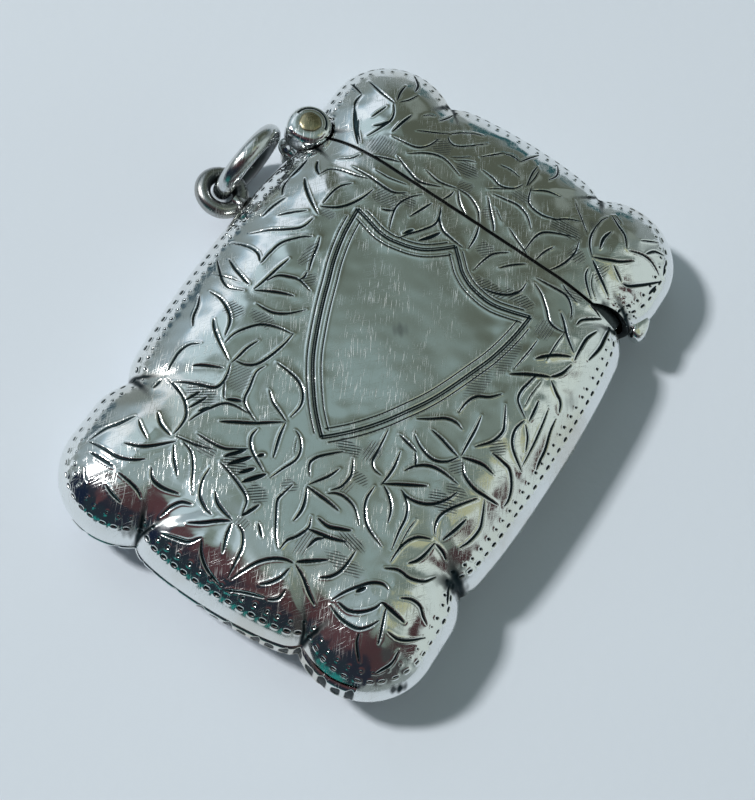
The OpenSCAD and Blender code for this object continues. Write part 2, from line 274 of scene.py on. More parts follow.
# %% Room
def paint_room():
    world = bpy.data.worlds.new("room")
    bpy.context.scene.world = world
    world.use_nodes = True
    tree = world.node_tree
    toward = add_node(tree, "ShaderNodeTexCoord").outputs["Generated"]
    rise = add_node(tree, "ShaderNodeSeparateXYZ", Vector=toward).outputs["Z"]
    ramp = add_node(tree, "ShaderNodeValToRGB", Fac=rise).color_ramp
    while len(ramp.elements) < len(ROOM_HEIGHTS):
        ramp.elements.new(0.5)
    for element, (at, colour) in zip(ramp.elements, ROOM_HEIGHTS):
        element.position = at
        element.color = (*colour, 1)
    colour = tree.nodes[-1].outputs["Color"]
    wisps = add_node(tree, "ShaderNodeTexNoise", Vector=toward, Scale=7.0, Detail=4.0)
    wisps = wisps.outputs["Fac"]

    def paint(colour, direction, wide, core, tint, ragged):
        """Lays one soft round patch over the colours so far."""
        dot = add_node(tree, "ShaderNodeVectorMath", {"operation": "DOT_PRODUCT"})
        plug(tree, dot.inputs[0], toward)
        dot.inputs[1].default_value = Vector(direction).normalized()
        near = dot.outputs["Value"]
        if ragged:
            stray = maths(tree, "MULTIPLY", maths(tree, "SUBTRACT", wisps, 0.5), ragged)
            near = maths(tree, "ADD", near, stray)
        share = ease(tree, near, math.cos(math.radians(wide)), math.cos(math.radians(core)))
        return blend(tree, share, colour, (*tint, 1))

    for patch in ROOM_PATCHES:
        colour = paint(colour, *patch)
    shine = tree.nodes["Background"]
    plug(tree, shine.inputs["Color"], colour)
    shine.inputs["Strength"].default_value = 1.0


paint_room()
print("room: ceiling, window wall and a dark side past the base end")

# %% [markdown]
# ## The form of the case
# The outline is four round lobes at the corners, a long swelling on each side and a shorter one
# at each end. Each is described by how deep a point lies inside it; the deepest one wins, and
# the valleys between them are where two tie. The depth also gives the height of the surface: the
# edge rolls over like a quarter ellipse and runs out in a flat face. A subdivided cage could be
# pulled into this form, but formulas are better here: they are the ones that the solid was built
# from, so the two agree to a hair. Wear comes on top of them: the creases are rounded a little, and
# two corners of the front have been knocked, so they droop by up to half a millimetre.

# %% Depth and height of the surface
HALF_W, HALF_L = 17.4, 25.5
SHOULDER, CROWN, EDGE_ROLL, WALL = 4.05, 0.3, 7.5, 0.5
MID = SHOULDER
LOBE_R, LOBE_X, LOBE_Y = 5.8, 11.2, 19.7
LOBE_RUN_LID, LOBE_RUN_BASE = 1.5, 2.8
CORE_X, CORE_Y = 15.8, 24.2
SIDE_HALF, SIDE_CORNER, SIDE_BOW = 15.0, 5.3, 130
END_HALF, END_CORNER, END_BOW = 8.4, 3.4, 46
SIDE_SOFT, END_SOFT = 0.33, 0.22
BASE_DROOP, LID_DROOP = 0.55, 0.40


def box_depth(x, y, half_x, half_y, r):
    """Depth of a point inside a rounded rectangle."""
    qx, qy = abs(x) - half_x + r, abs(y) - half_y + r
    return r - np.hypot(np.maximum(qx, 0), np.maximum(qy, 0)) - np.minimum(np.maximum(qx, qy), 0)


def eased(a, b, soft):
    """The lesser of two depths, with the crease between them rounded off by soft."""
    return np.minimum(a, b) - soft * np.log1p(np.exp(-abs(a - b) / np.maximum(soft, 1e-6)))


def swellings(x, y):
    """Depth inside the side, the end, the lobe and the core between them."""
    side_soft = SIDE_SOFT * np.clip((abs(y) - 7.0) / 3.5, 0, 1)
    end_soft = END_SOFT * np.clip((abs(x) - 3.5) / 2.5, 0, 1)
    side_bow = SIDE_BOW - np.hypot(abs(x) - HALF_W + SIDE_BOW, y)
    end_bow = END_BOW - np.hypot(x, abs(y) - HALF_L + END_BOW)
    side = eased(box_depth(x, y, HALF_W, SIDE_HALF, SIDE_CORNER), side_bow, side_soft)
    end = eased(box_depth(x, y, END_HALF, HALF_L, END_CORNER), end_bow, end_soft)
    run = np.where(y > 0, LOBE_RUN_LID, LOBE_RUN_BASE)
    past = np.maximum(np.maximum(abs(y) - LOBE_Y, LOBE_Y - run - abs(y)), 0)
    lobe = LOBE_R - np.hypot(abs(x) - LOBE_X, past)
    return np.stack([side, end, lobe, box_depth(x, y, CORE_X, CORE_Y, LOBE_R)])


def depth(x, y):
    """Depth inside the whole case; the valleys are crisp at the rim and fade towards the face."""
    each = swellings(x, y)
    top = each.max(axis=0)
    soft = 0.08 + 0.22 * np.clip(top, 0, 4)
    return top + soft * np.log(np.exp((each - top) / soft).sum(axis=0)) * np.clip(top / 0.5, 0, 1)


def height(x, y, up, skin=0.0):
    """Height of the front (up = 1) or back (up = -1) face; skin = WALL gives the inner face."""
    reach = EDGE_ROLL - skin
    s = 1 - np.clip(depth(x, y) - skin, 0, reach) / reach
    rise = (SHOULDER - skin) * np.sqrt(np.maximum(1 - s * s, 0))
    bulge = CROWN * np.maximum(1 - (x / HALF_W) ** 2, 0) * np.maximum(1 - (y / HALF_L) ** 2, 0)
    if up < 0:
        return MID - rise
    base_knock = np.clip((-17.2 - y) / 6, 0, 1.3) ** 2 * np.clip((x - 6.5) / 3, 0, 1) * rise / SHOULDER
    lid_knock = np.clip((x - 8.0) / 6, 0, 1.3) ** 2 * np.clip((y - 14.3) / 2.5, 0, 1) * rise / SHOULDER
    return MID + rise + bulge * np.clip(rise / 0.5, 0, 1) - BASE_DROOP * base_knock - LID_DROOP * lid_knock


print("face height in the middle:", round(float(height(np.zeros(1), np.zeros(1), 1)[0]), 2), "mm")

# %% [markdown]
# ## A grid that follows the scallops
# The leaves are cut with a graver into the real surface, so the mesh must be fine: about twelve
# points to a millimetre. A square grid would end in a ragged staircase at the outline. Instead
# the four edges of the piece are found first, and the grid is stretched between them, the way a
# net is laced into a frame. Its lines crowd together at the edge, where the surface turns down.
# The lid's edge is worn back at the corner with the thumbpiece, so the slit opens there.

# %% Edges of body and lid
LID_Y, LID_SLOPE, LID_GAP = 13.9, math.radians(1.9), 0.27
# bearing of a lobe's outermost point from the middle of the case
CORNER = math.degrees(math.atan2(LOBE_Y + 0.707 * LOBE_R, LOBE_X + 0.707 * LOBE_R))


def reach_edge(start, heading, inset):
    """Distance along each heading, from the start, to where the surface is only inset deep."""
    low, high = np.zeros(len(heading)), np.full(len(heading), 40.0)
    for _ in range(44):
        half = (low + high) / 2
        spot = start + heading * half[:, None]
        inside = depth(spot[:, 0], spot[:, 1]) > inset
        low, high = np.where(inside, half, low), np.where(inside, high, half)
    return low


def outline(degrees, inset):
    """Points of the outline, set in, at these bearings from the middle of the case."""
    heading = np.stack([np.cos(np.radians(degrees)), np.sin(np.radians(degrees))], -1)
    return heading * reach_edge(np.zeros(2), heading, inset)[:, None]


def cut_end(cut_y, side, inset):
    """Where the cut between lid and body leaves the case."""
    heading = np.array([[side * math.cos(LID_SLOPE), -side * math.sin(LID_SLOPE)]])
    start = np.array([0, cut_y])
    return (start + heading * reach_edge(start, heading, inset)[:, None])[0]


def walk(points, shares):
    """Points at the given shares of the length of a line."""
    steps = np.hypot(*np.diff(points, axis=0).T)
    along = np.concatenate([[0], np.cumsum(steps)])
    return np.stack([np.interp(np.asarray(shares) * along[-1], along, points[:, k]) for k in (0, 1)], -1)


print("half width at the middle:", round(float(outline(np.zeros(1), 0.0)[0, 0]), 2), "mm")

# %% Laced grid
WORN_BACK, WORN_FROM, WORN_OVER = 1.2, 0.884, 0.09


def crowded(length, step, both_ends):
    """Shares from 0 to 1, evenly spaced over a face that rolls down at its end, or at both ends."""
    s = np.linspace(0, length, 4000)
    d = np.minimum(s, length - s) if both_ends else s
    rise = SHOULDER * np.sqrt(1 - (1 - np.clip(d, 0, EDGE_ROLL) / EDGE_ROLL) ** 2)
    along = np.concatenate([[0], np.cumsum(np.hypot(np.diff(s), np.diff(rise)))])
    count = int(round(along[-1] / step / 6)) * 6 + 1
    return np.interp(np.linspace(0, along[-1], count), along, s) / length


def lace_grid(is_lid, inset, across, along):
    """Grid of points laced between the scalloped end, the two sides and the cut."""
    end = 1 if is_lid else -1
    cut_y = LID_Y + end * LID_GAP / 2
    left, right = cut_end(cut_y, -1, inset), cut_end(cut_y, 1, inset)
    corner_l, corner_r = (180 - CORNER, CORNER) if is_lid else (180 + CORNER, -CORNER)
    end_to = corner_r if is_lid else corner_r + 360
    far_end = walk(outline(np.linspace(corner_l, end_to, 1600), inset), across)
    cut = left + (right - left) * across[:, None]
    if is_lid:
        worn = cut_end(cut_y + WORN_BACK, 1, inset)
        opened = 1 - (1 - np.clip((across - WORN_FROM) / WORN_OVER, 0, 1)) ** 2
        cut += (worn - right) * opened[:, None]
        right = worn
    turn_l = math.degrees(math.atan2(left[1], left[0]))
    turn_r = math.degrees(math.atan2(right[1], right[0]))
    side_l = np.vstack([outline(np.linspace(corner_l, turn_l, 900)[:-1], inset), left])
    side_r = np.vstack([outline(np.linspace(corner_r, turn_r, 900)[:-1], inset), right])
    edge_l, edge_r = walk(side_l, along), walk(side_r, along)
    u, v = across[None, :, None], along[:, None, None]
    ruled = (1 - v) * far_end[None] + v * cut[None] + (1 - u) * edge_l[:, None] + u * edge_r[:, None]
    corners = ((1 - u) * (1 - v) * far_end[0] + u * (1 - v) * far_end[-1]
               + (1 - u) * v * cut[0] + u * v * cut[-1])
    return ruled - corners


STEP = 0.075
ACROSS = crowded(2 * HALF_W, STEP, True)
ALONG_BODY = crowded(HALF_L + LID_Y, STEP, False)
ALONG_LID = crowded(HALF_L - LID_Y, STEP, False)
print("grid:", len(ACROSS), "x", len(ALONG_BODY), "on the body and", len(ALONG_LID), "rows on the lid")

# %% [markdown]
# ## Cutting with the graver
# An engraver pushes a burin through the metal: the cut starts fine, swells, and runs out fine
# again, and it is V-shaped, with a burr thrown up on each lip and the metal beside it pushed up.
# A bump map could fake that, but a cut that a finger would feel belongs in the mesh: each is a
# smooth line through a few points with a width, and every grid point near it is pushed in by the V.
# Black tarnish that polishing never reaches stays in the cuts, so the distance to the nearest cut's
# edge is also stored on the points, for the material to use: as a distance it can be read sharply
# between the points.

# %% Points sorted into millimetre squares
class Squares:
    """Finds the grid points near a place without looking at all of them."""

    def __init__(self, x, y):
        self.x, self.y = x, y
        square = self.number(np.floor(x), np.floor(y))
        self.order = np.argsort(square, kind="stable")
        self.sorted = square[self.order]

    @staticmethod
    def number(i, j):
        return (np.asarray(i) + 40) * 100 + np.asarray(j) + 40

    def near(self, low, high):
        found = []
        for i in range(math.floor(low[0]), math.floor(high[0]) + 1):
            first = np.searchsorted(self.sorted, self.number(i, math.floor(low[1])), "left")
            last = np.searchsorted(self.sorted, self.number(i, math.floor(high[1])), "right")
            found.append(self.order[first:last])
        return np.concatenate(found)


print("squares: 1 mm, so a cut looks at the points near it only")

# %% Lines for the graver
def through(points, per_span=8):
    """A smooth line through the points (a Catmull-Rom spline)."""
    p = np.asarray(points, float)
    if len(p) < 3:
        return p[0] + (p[-1] - p[0]) * np.linspace(0, 1, per_span)[:, None]
    padded = np.vstack([2 * p[0] - p[1], p, 2 * p[-1] - p[-2]])
    t = np.linspace(0, 1, per_span, endpoint=False)[:, None]
    spans = []
    for a, b, c, d in zip(padded, padded[1:], padded[2:], padded[3:]):
        spans.append(0.5 * (2 * b + (c - a) * t + (2 * a - 5 * b + 4 * c - d) * t ** 2
                            + (3 * b - a - 3 * c + d) * t ** 3))
    return np.vstack(spans + [p[-1:]])


def swell(count, width, finest=0.30):
    """Half widths along a cut: fine at both ends and full in the middle."""
    t = np.linspace(0, 1, count)
    return width / 2 * (finest + (1 - finest) * np.sin(np.pi * t) ** 0.6)


print("a line through 3 points has", len(through([(0, 0), (1, 1), (2, 0)])), "points")

# %% The graver's cuts
STEEPNESS = 0.52
BURR, BURR_AT, BURR_WIDE = 0.022, 0.05, 0.06
PUSHED, PUSH_FADE = 0.026, 0.30
# what a point far from any cut carries, in place of its distance inside one
NO_CUT = -0.2


def carve(squares, cuts):
    """How deep the cuts go at each point, and how far inside the nearest one's black it lies."""
    depth_in = np.zeros(len(squares.x))
    inside = np.full(len(squares.x), NO_CUT)
    lip = np.zeros(len(squares.x))
    for line, half in cuts:
        room = half.max() + 0.6
        near = squares.near(line.min(axis=0) - room, line.max(axis=0) + room)
        if len(near) == 0:
            continue
        p = np.stack([squares.x[near], squares.y[near]], -1)
        a, ab = line[:-1], np.diff(line, axis=0)
        t = ((p[:, None] - a) * ab).sum(-1) / np.maximum((ab * ab).sum(-1), 1e-12)
        t = np.clip(t, 0, 1)
        gap = np.hypot(*np.moveaxis(p[:, None] - a - t[..., None] * ab, -1, 0))
        wide = half[:-1] + (half[1:] - half[:-1]) * t
        best = np.argmin(gap - wide, axis=1)
        row = np.arange(len(near))
        gap, wide = gap[row, best], wide[row, best]
        depth_in[near] = np.maximum(depth_in[near], STEEPNESS * np.maximum(wide - gap, 0))
        inside[near] = np.maximum(inside[near], 0.8 * wide - gap)
        past = gap - wide
        raised = BURR * np.exp(-((past - BURR_AT) / BURR_WIDE) ** 2)
        raised += PUSHED * np.exp(-np.maximum(past, 0) / PUSH_FADE)
        lip[near] = np.maximum(lip[near], raised * (past > -0.02))
    return depth_in - lip, inside


print("graver: a cut 0.3 mm wide goes", round(STEEPNESS * 0.15, 3), "mm deep")

# %% [markdown]
# ## The leaves
# The whole front is covered with sprays of pointed leaves, a stock pattern of hand engraving. A
# rule that scatters leaves would be shorter, but no two leaves here are alike, so they are drawn
# one by one. Each line below is one cut: its width in millimetres, then the points it runs through.

# %% Leaf cuts on lid and body
LEAF_CUTS = """
# lid, left lobe
.24 -14.6 21 -13.2 20.35 -11.4 19.8
.24 -11.9 24.4 -10.95 23.25 -10.7 22.2
.18 -10.3 22.1 -10.65 21 -11.15 20.2
.22 -11.7 22.3 -11.65 21.2 -11.4 20.2
.22 -11.5 19.8 -10.95 18.9 -10.85 18 -11.2 17 -11.7 15.8
.20 -12.35 17.6 -12.15 18.3 -11.85 19.2
.24 -11.75 16.95 -11.3 17.35 -10.95 17.95
.28 -9.65 19.8 -9.9 18.6 -10.1 17.3
.20 -8.5 18.65 -7.3 19.4 -6.1 20.2
.20 -6.1 20.1 -5.3 21.1 -3.6 22
.20 -9.9 16.85 -7.8 17.1 -6.9 17.9 -6.5 19.2
.20 -7.9 16.2 -6.6 17.2 -5.1 17.65 -3.1 17
.22 -8.5 15.45 -7 14.8 -5.6 14.45 -3.9 15.15
.18 -5.8 15.75 -4.3 15.45 -2.7 15.8
.18 -10.2 14.35 -9 14.75 -8 15.1
.26 -14.3 18 -13.2 16.3 -11.9 14.7
.16 -14 17.7 -12.9 16.2 -11.8 14.9
.20 -15.9 20.3 -15.2 19.9 -14.4 19.4
.24 -14.4 19.4 -14.45 18.6 -14.2 17.8
.20 -13.2 16.9 -12.8 16.1 -12.4 15.4
.14 -8.9 20.4 -8.5 20.9 -8.1 21.1
.20 -6.9 22.6 -7.2 21.6 -7.5 20.9
# lid, middle
.20 -6.1 19.95 -5.6 19.5 -4.9 19.5 -3.9 20.3 -2.9 21.4
.20 -2.7 19.7 -1.9 20.7 -1.3 21.45
.20 -1.3 21.4 -0.5 21.7 0.3 21.5
.20 0.3 21.5 0.75 22.6 1.2 23.7
.16 -1 20.05 0 20.2 1.1 20.05
.20 -1.9 18.65 -0.8 18.5 0.2 18.25 1.2 18.7 1.7 19.6
.18 1.75 22.2 1.75 21.2 2 19.5
.14 2.05 22 2.15 20.9 2.05 19.6
.18 2.5 19.5 3.6 20.3 4.9 20.7
.22 2.35 19.8 3 18.3 4.5 18 6 18.5
.20 5.4 18.1 6.4 19 7.5 19.6
.20 3 24 3.45 23 3.5 22.3 3.2 21.5
.14 -4.8 18.1 -4 18.7 -3.3 19.3
.12 -4.3 18.1 -3.4 18.7 -2.7 19
.12 -0.6 17.3 0 17.8 0.8 18.3
.20 0 17.15 1.2 17.35 2.4 17.5 3.5 17.1 4.4 16.2
.22 -0.2 16.7 0.8 15.5 1.5 14.7 1.9 14.1
.18 2.8 15.15 3.9 14.6 5.4 13.85
.10 0.9 16.2 1.5 15.7 2 15.3
.20 -2.7 15.8 -1.5 15.75 -0.4 15.2 0 14.8 0.6 13.9
.20 -2.6 15.7 -1.8 14.7 -0.8 14
.20 -2.8 15.4 -2.9 14.8 -3.2 14.1
.22 4.95 14 5.05 15.8 5.7 16.8 7.9 17.85
.20 6.8 15.9 6.4 15 6.15 13.9
.22 8.3 17.7 8.55 16.6 8.4 15.4 8 14.4 7.6 13.8
# lid, right lobe
.22 8.8 20.4 8.85 19 9.2 18 9.9 17.15
.24 9.9 17.1 11.1 17.7 12.1 18.3 13.1 19.3
.24 9.4 22 10.3 21.3 11.3 20.7 11.95 19.75
.12 9.6 22.2 10.1 21.9 10.5 21.6
.30 10.1 20.3 9.9 19.3 10.1 18.2
.20 12.2 19.7 13.4 20.35 14.3 20.5 15.5 20.15
.18 12.6 21.4 13.2 22 13.9 22.7
.26 13.6 20.7 14.1 21.6 14.9 22.1
.20 15.4 21.7 15.55 21.1 15.8 20.5
.26 15.9 19.9 14.9 18.4 13.9 17.2 13.3 16.9
.20 11.8 17.7 12.5 17.3 13.2 16.9
.28 10.1 16.9 11.2 16.2 12.9 15.1
.22 10.2 16 10.35 15.3 10.9 14.6 11.8 13.8
.14 10.7 16 11.2 14.9 12.1 14.1
.16 14.4 15.6 14.3 14.9 14.2 14.2
.24 15.75 19.2 15.68 18.6 15.6 18.1
.14 6 21.3 7.4 19.9 8.6 18.7
.16 9.2 21.6 8.9 20.9 8.85 20
# body, upper left
.26 -14.8 11.4 -14.85 10.2 -15.05 9
.20 -15.05 9 -15 8 -14.6 7
.24 -14.2 6.9 -14.6 5.8 -14.85 4.4
.24 -13.95 11.6 -13.6 10.8 -13 10.2
.20 -13 10.3 -12.6 11.2 -11.8 11.6 -10.4 11.8 -9.3 12.15
.22 -11.1 12.4 -9.5 12.35 -8 12.2 -6.9 12.25 -6 12.9
.14 -9.3 13.2 -8 13.2 -6.3 13.6
.16 -11.2 13.9 -11.6 13.2 -12.6 12.5
.26 -8.45 11.5 -8.8 10.2 -9.4 9 -10.2 8.1 -11.2 7.55
.22 -10.2 11 -10.9 10.2 -11.15 9.2 -11.2 7.9
.26 -13.9 9.4 -13.3 8.6 -12.3 7.7 -11 6.8
.22 -13.75 5 -13 5.7 -11.9 6.6
.24 -11.05 6.3 -11.4 5 -12.4 4.1 -13.5 3.4 -14.8 2.4
.22 -10.2 4.7 -11 4.1 -12 2.8 -12.3 1.5 -12.35 0.2
.22 -9.7 5.1 -9.4 4.2 -9.1 2.9 -8.7 1.8
.20 -8.8 1.7 -8.75 1.2 -8.9 0.8
.20 -4.8 13.6 -5.6 12.6 -6 11.4 -5.8 10.2 -5.3 8.9
.20 -6.9 10.3 -6.4 10.5 -6 10.8
# body, upper middle
.24 -3.75 13.3 -4.1 12.4 -4.6 11.1
.22 -2.95 13.5 -2.6 12.7 -2.5 11.7 -3.1 10.6 -3.8 9.6 -4.3 8.8
.24 -2.8 13 -2.3 12.2 -1.6 11.6 -0.8 11.4 0.6 11.2
.22 0.6 13.9 0.9 12.7 1 11.4
.35 -1.7 11.3 -2.2 10.4 -2.8 9.6
.30 -3.7 10.2 -3.95 9.8 -4.2 9.4
.20 4 13.2 3 12.3 2.6 11.3 2.35 9.9
.20 5.7 13.1 4.8 12.3 4 11.4
.22 6.6 11.6 6.55 10.6 5.9 9.7 4.9 9.2 3.9 8.95
# body, upper right
.24 7.2 11.95 8.2 11.4 9.2 10.5 9.9 9.75 10.6 9.5 11.5 9.6
.22 7.1 12.45 8.6 12.55 10 12.6 10.9 11.9 11.3 11
.26 10.3 11 11 10.4 11.8 9.5 13 8.6
.24 13.45 13.05 12.8 12.4 12.1 11.6 11.95 10.9
.30 14.4 13.1 14.5 12 14.6 10.6 14.35 9
.28 13.65 11.7 13.3 10.5 13.3 9.3 13.4 8.1
.28 13 8.15 11.9 7.4 11.1 6.6 10.7 6.1
.28 13.4 7.6 13.2 6.6 12.9 6 12.55 5.55
.30 12.5 5.5 11.6 4.95 10.6 4.3 9.6 3.6
.26 12.7 5.3 13.6 4.7 14.3 4.3 14.7 3.5
.16 11.5 9.6 11.45 8 11.5 6.5
.26 11.5 5 11.3 3.9 11.15 2.9 11.4 2 12.6 1.1
.16 10 7.7 9.9 6.2 9.65 4
.12 12.1 4.8 12 3 12.1 1.8
.16 12 13.3 12.7 13.2 13.3 13.05
.16 9.2 13.3 9.8 13 11 12.7
# body, left of the shield
.24 -15.6 1 -14.8 1.15 -13.7 1.15 -13 0.9 -12.5 0.35
.26 -14.9 -0.55 -13.9 -1.2 -12.6 -1.75 -12.1 -1.9
.22 -15.8 -0.9 -15 -1.8 -14.2 -2.6 -13.3 -3 -12.1 -2.65
.24 -10.65 1.9 -10.95 0.6 -11.2 -0.8 -11.5 -2.1
.24 -11.4 -2.15 -10.4 -1.6 -9.4 -1.1 -8.5 -0.75
.22 -11.05 -0.9 -10.6 0 -9.8 0.45 -8.9 0.7 -7.6 0.4
.22 -10.6 -3.1 -9.7 -3.1 -8.9 -2.95 -8 -2.35 -7 -1.2
.26 -14.5 -4 -13.4 -4.2 -12.3 -4.75 -11.5 -5.6 -11.1 -6.9
.22 -15.05 -4.6 -14.6 -5.5 -14.3 -6.6 -13.8 -7.5
.22 -6.7 -3.7 -8 -3.9 -9.2 -4.4 -10 -5.3 -10.6 -6.4 -10.75 -7.5
.24 -6.7 -3.6 -6.8 -4.8 -7.1 -6.2 -7.6 -7.5 -8.3 -8.1 -9.2 -8.3
.22 -8.65 -5.75 -9.05 -6.8 -9.2 -7.8 -9.35 -8.6
.26 -12.75 -6.1 -12.2 -6.8 -11.2 -7.6 -9.6 -8.6
.12 -15.2 -2.4 -14 -2.2 -12.7 -2.1
# body, lower left
.24 -12.4 -8.5 -13.1 -9.1 -13.4 -10 -13.35 -11 -13.25 -11.9
.24 -11.8 -10.5 -11 -10 -9.6 -9.35
.26 -9.4 -8.7 -9.1 -9.6 -9 -10.5 -9.3 -11.2 -10.4 -11.6 -11.4 -12 -12.3 -12.45
.16 -8.9 -10.3 -8.5 -11 -8.1 -11.6
.22 -7 -7.3 -7.3 -8.2 -7 -9.6 -6.8 -10.6 -6.2 -11.2 -4.9 -11.8
.22 -5.8 -11.5 -7 -11.55 -7.9 -11.9 -8.6 -12.9 -9.1 -13.9 -9.35 -14.7
.28 -7.3 -13.35 -6.4 -12.8 -4.9 -11.85 -3.1 -10.5
.24 -12.4 -12.5 -11.4 -12.9 -10.4 -13.6 -9.8 -14.4 -9.65 -15.3 -9.7 -16.3
.14 -13 -12.35 -12 -12.8 -11 -13.2
.22 -8.2 -15.2 -7 -15.25 -5.8 -15.1 -5 -14.6 -4.2 -14
.28 -11.8 -15.4 -11 -16.1 -9.8 -16.5
.18 -9.6 -16.35 -8.5 -16.2 -7.5 -16 -6.4 -15.6
.24 -13.25 -12.7 -13.3 -13.1 -13.4 -13.6
.25 -10.6 -13.4 -10 -12
.25 -10 -13.8 -9.3 -12.2
.25 -9.2 -13.6 -8.7 -12.8
.30 -8 -11.5 -6.8 -10.9
# body, under the shield
.26 -6.4 -6.55 -5.3 -6.65 -4.3 -6.85 -3.5 -7.3 -3 -8 -2.8 -8.8 -2.95 -9.9
.22 -5.6 -8.9 -4.8 -9.6 -3.9 -10 -3 -10.4
.26 -3 -10.5 -2.8 -11.6 -2.5 -12.6 -2.2 -13.5
.26 -4.55 -12.2 -4.6 -13 -4.1 -13.8 -3.2 -14.4 -2.2 -14.9
.22 -2 -10.6 -1.4 -10.9 -0.8 -11.7 -0.65 -12.7 -1.1 -13.9 -1.5 -15.1
.10 -1.6 -11 -1.3 -11.7 -1 -12.3
.24 2.1 -9.9 1.4 -10.6 0.7 -11.4 0.4 -12.1 0.55 -12.6 1 -13.2
.22 2.6 -11.3 2.2 -12.4 1.3 -13.8
.24 3 -9.95 3.4 -10.7 3.65 -11.4 3.5 -12.5 3 -13.2
.26 1.25 -14 2.4 -14.1 3.3 -14.15 4.4 -14.3
.22 2.9 -13.6 3.5 -13.2 4.3 -13.1 5.3 -13.4 6.4 -14.4
.28 1.3 -14.1 1.75 -15 2 -16 1.95 -17
.24 0.3 -14.5 0.05 -15.6 0 -16.3 0.6 -17.4 1.4 -18.7 2.2 -19.6
.22 4 -6.2 4.15 -7.2 4.3 -8.5 4.4 -9.3 4.9 -9.8 5.6 -9.9
.24 5.8 -7.3 6.05 -8.5 6.1 -9.6 6 -10.6
.35 -4.3 -14.2 -5.4 -15.6
.40 -3.6 -14.4 -4.8 -16
.35 -2.9 -15.1 -3.7 -16.1
.40 -1.9 -15 -3.1 -16.6
.30 -2.9 -13.7 -3.3 -14.1
.24 -5.4 -16.2 -4.2 -16.55 -3 -17 -2 -17.6 -1.6 -18.9
.30 3.4 -15.75 4.4 -15.85 5.3 -15.5 6.1 -15.1
.24 2.9 -15.9 3.2 -16.8 2.9 -17.8 2.4 -18.6 2.3 -19.5
# body, right of the shield
.24 10 1.75 9.3 0.9 8.4 0.3 8 -0.6 7.9 -1.8
.24 9.6 -0.9 9.8 -2.2 9.9 -3.6 10 -4.8
.26 10.7 1.1 11.3 0 11.7 -1 11.4 -2.3 10.5 -3.5
.24 5.4 -4.2 6.4 -3.5 7.3 -2.8 8.2 -2.6 8.9 -2.8
.26 6.9 -4.3 8 -4.5 9 -4.8 9.8 -5
.28 10.1 -4.9 11 -4.6 11.9 -4.4 12.9 -4.5
.26 11.9 -3.1 12.9 -3.15 13.8 -3.3 14.6 -4.2 15 -5.2 15 -6
.28 12.65 0.9 12.45 -0.1 12.7 -1.1 13.4 -1.9 14.7 -2.75
.20 12.9 0.7 13.6 -0.1 14.1 -1.2
.26 12.75 3.1 12.9 2.2 13 1.1
.20 13.75 3.2 14.05 1.6 14.3 -0.2 14.5 -2.4
.26 14.7 2.9 14.9 1.6 15.3 0.2 15.45 -1 15.6 -1.7
.24 5.9 -5.4 7 -6.1 8.3 -6.4 9.3 -5.9 9.9 -5
.22 5 -6.15 6 -6.4 6.9 -6.6
.20 6.8 -6.7 7.2 -7.2 7.4 -7.7
.26 6.9 -8.5 7.5 -7.6 8.4 -7 9.5 -6.85 11 -7
.28 6.1 -10.4 7.2 -9.7 8.2 -9.1 9.1 -8.55
.26 11.3 -7.6 11 -8.5 10.3 -9.5 9.3 -10.1 8.3 -10.25 7.5 -10
.26 6.2 -10.5 7 -11 7.7 -11.8 8.1 -12.9
.26 5.65 -11 5.7 -12.3 6.2 -13.3 7.1 -14.2 8.7 -14.85
.24 7.7 -10.1 8.6 -10.8 9.05 -11.8 9.2 -13 9.5 -14.6
.26 12.9 -7 12.1 -8.2 11.5 -9.2 11.2 -10.1 11.3 -10.9 11.6 -11.5
.30 13.05 -9 12.8 -10.2 12.4 -11.5
.24 13.4 -6.7 14 -7.9 14.35 -8.9 14.2 -10.2 13.8 -11.2
.28 10.4 -5.2 11 -6 12.2 -6.5 13.4 -6.45 14.5 -6.3
.24 11.6 -12 10.7 -12.5 10.2 -13.2 9.95 -14.2 9.95 -15.5
.28 12 -12.1 11.85 -13.3 11.6 -14.1 11.15 -14.75
.24 12.1 -12.1 12.9 -12.25 13.5 -12.6
.26 9.8 -16.2 10.8 -15.7 11.9 -15.7 12.9 -15.2 13.5 -14.2
.12 9.8 -11.4 9.75 -12.6 9.9 -14.5
.24 14.7 -13.9 15 -14.6 15.4 -15.3
# base, left lobe
.30 -13.1 -16.6 -13.8 -17.7 -14.5 -18.6 -15 -19.9
.20 -12.7 -16.7 -12.1 -17.2 -11.1 -17.8
.28 -12.5 -19 -11.3 -18.6 -10.4 -17.9 -9.2 -16.7
.26 -15 -20.15 -13.5 -20.2 -12.2 -20.25 -11.2 -19.9 -10.3 -19.2
.26 -14.4 -20.9 -13.2 -21 -12 -21.1
.22 -11.6 -21.25 -10.2 -21.4 -9.4 -21.6 -8.9 -21.9
.24 -9.2 -17 -8.5 -18 -7.5 -19
.26 -9.6 -19.5 -9 -20.2 -8 -20.35 -6.6 -20.05
.22 -8.8 -16.4 -7.7 -16.8 -7 -17.6 -6.4 -18.6 -5.8 -19.4
.24 -6.9 -22.2 -6.6 -21.2 -6.1 -20.5 -5.3 -20.2
.20 -11.8 -22.5 -11 -22.8 -10 -23
.24 -5.8 -17 -5.7 -18.2 -5.2 -19.3 -4.3 -19.9 -3.5 -20.1
.14 -14 -22.1 -13.5 -22.7 -13.1 -23
# base, middle
.28 -4.4 -18.4 -3.8 -19 -3 -19.35 -2 -19.6
.28 -4.8 -21.6 -3.8 -21 -2.8 -20.2 -2 -19.7
.28 -1.9 -19.8 -1.7 -20.8 -1.2 -22.1
.24 -1.5 -19.65 -0.8 -20 -0.2 -20.9 0 -22 0.15 -23.4
.30 -0.95 -17.4 -1.3 -18.3 -1.55 -18.9
.24 -6.1 -23.2 -5 -23 -3.9 -22.7 -3.2 -21.9
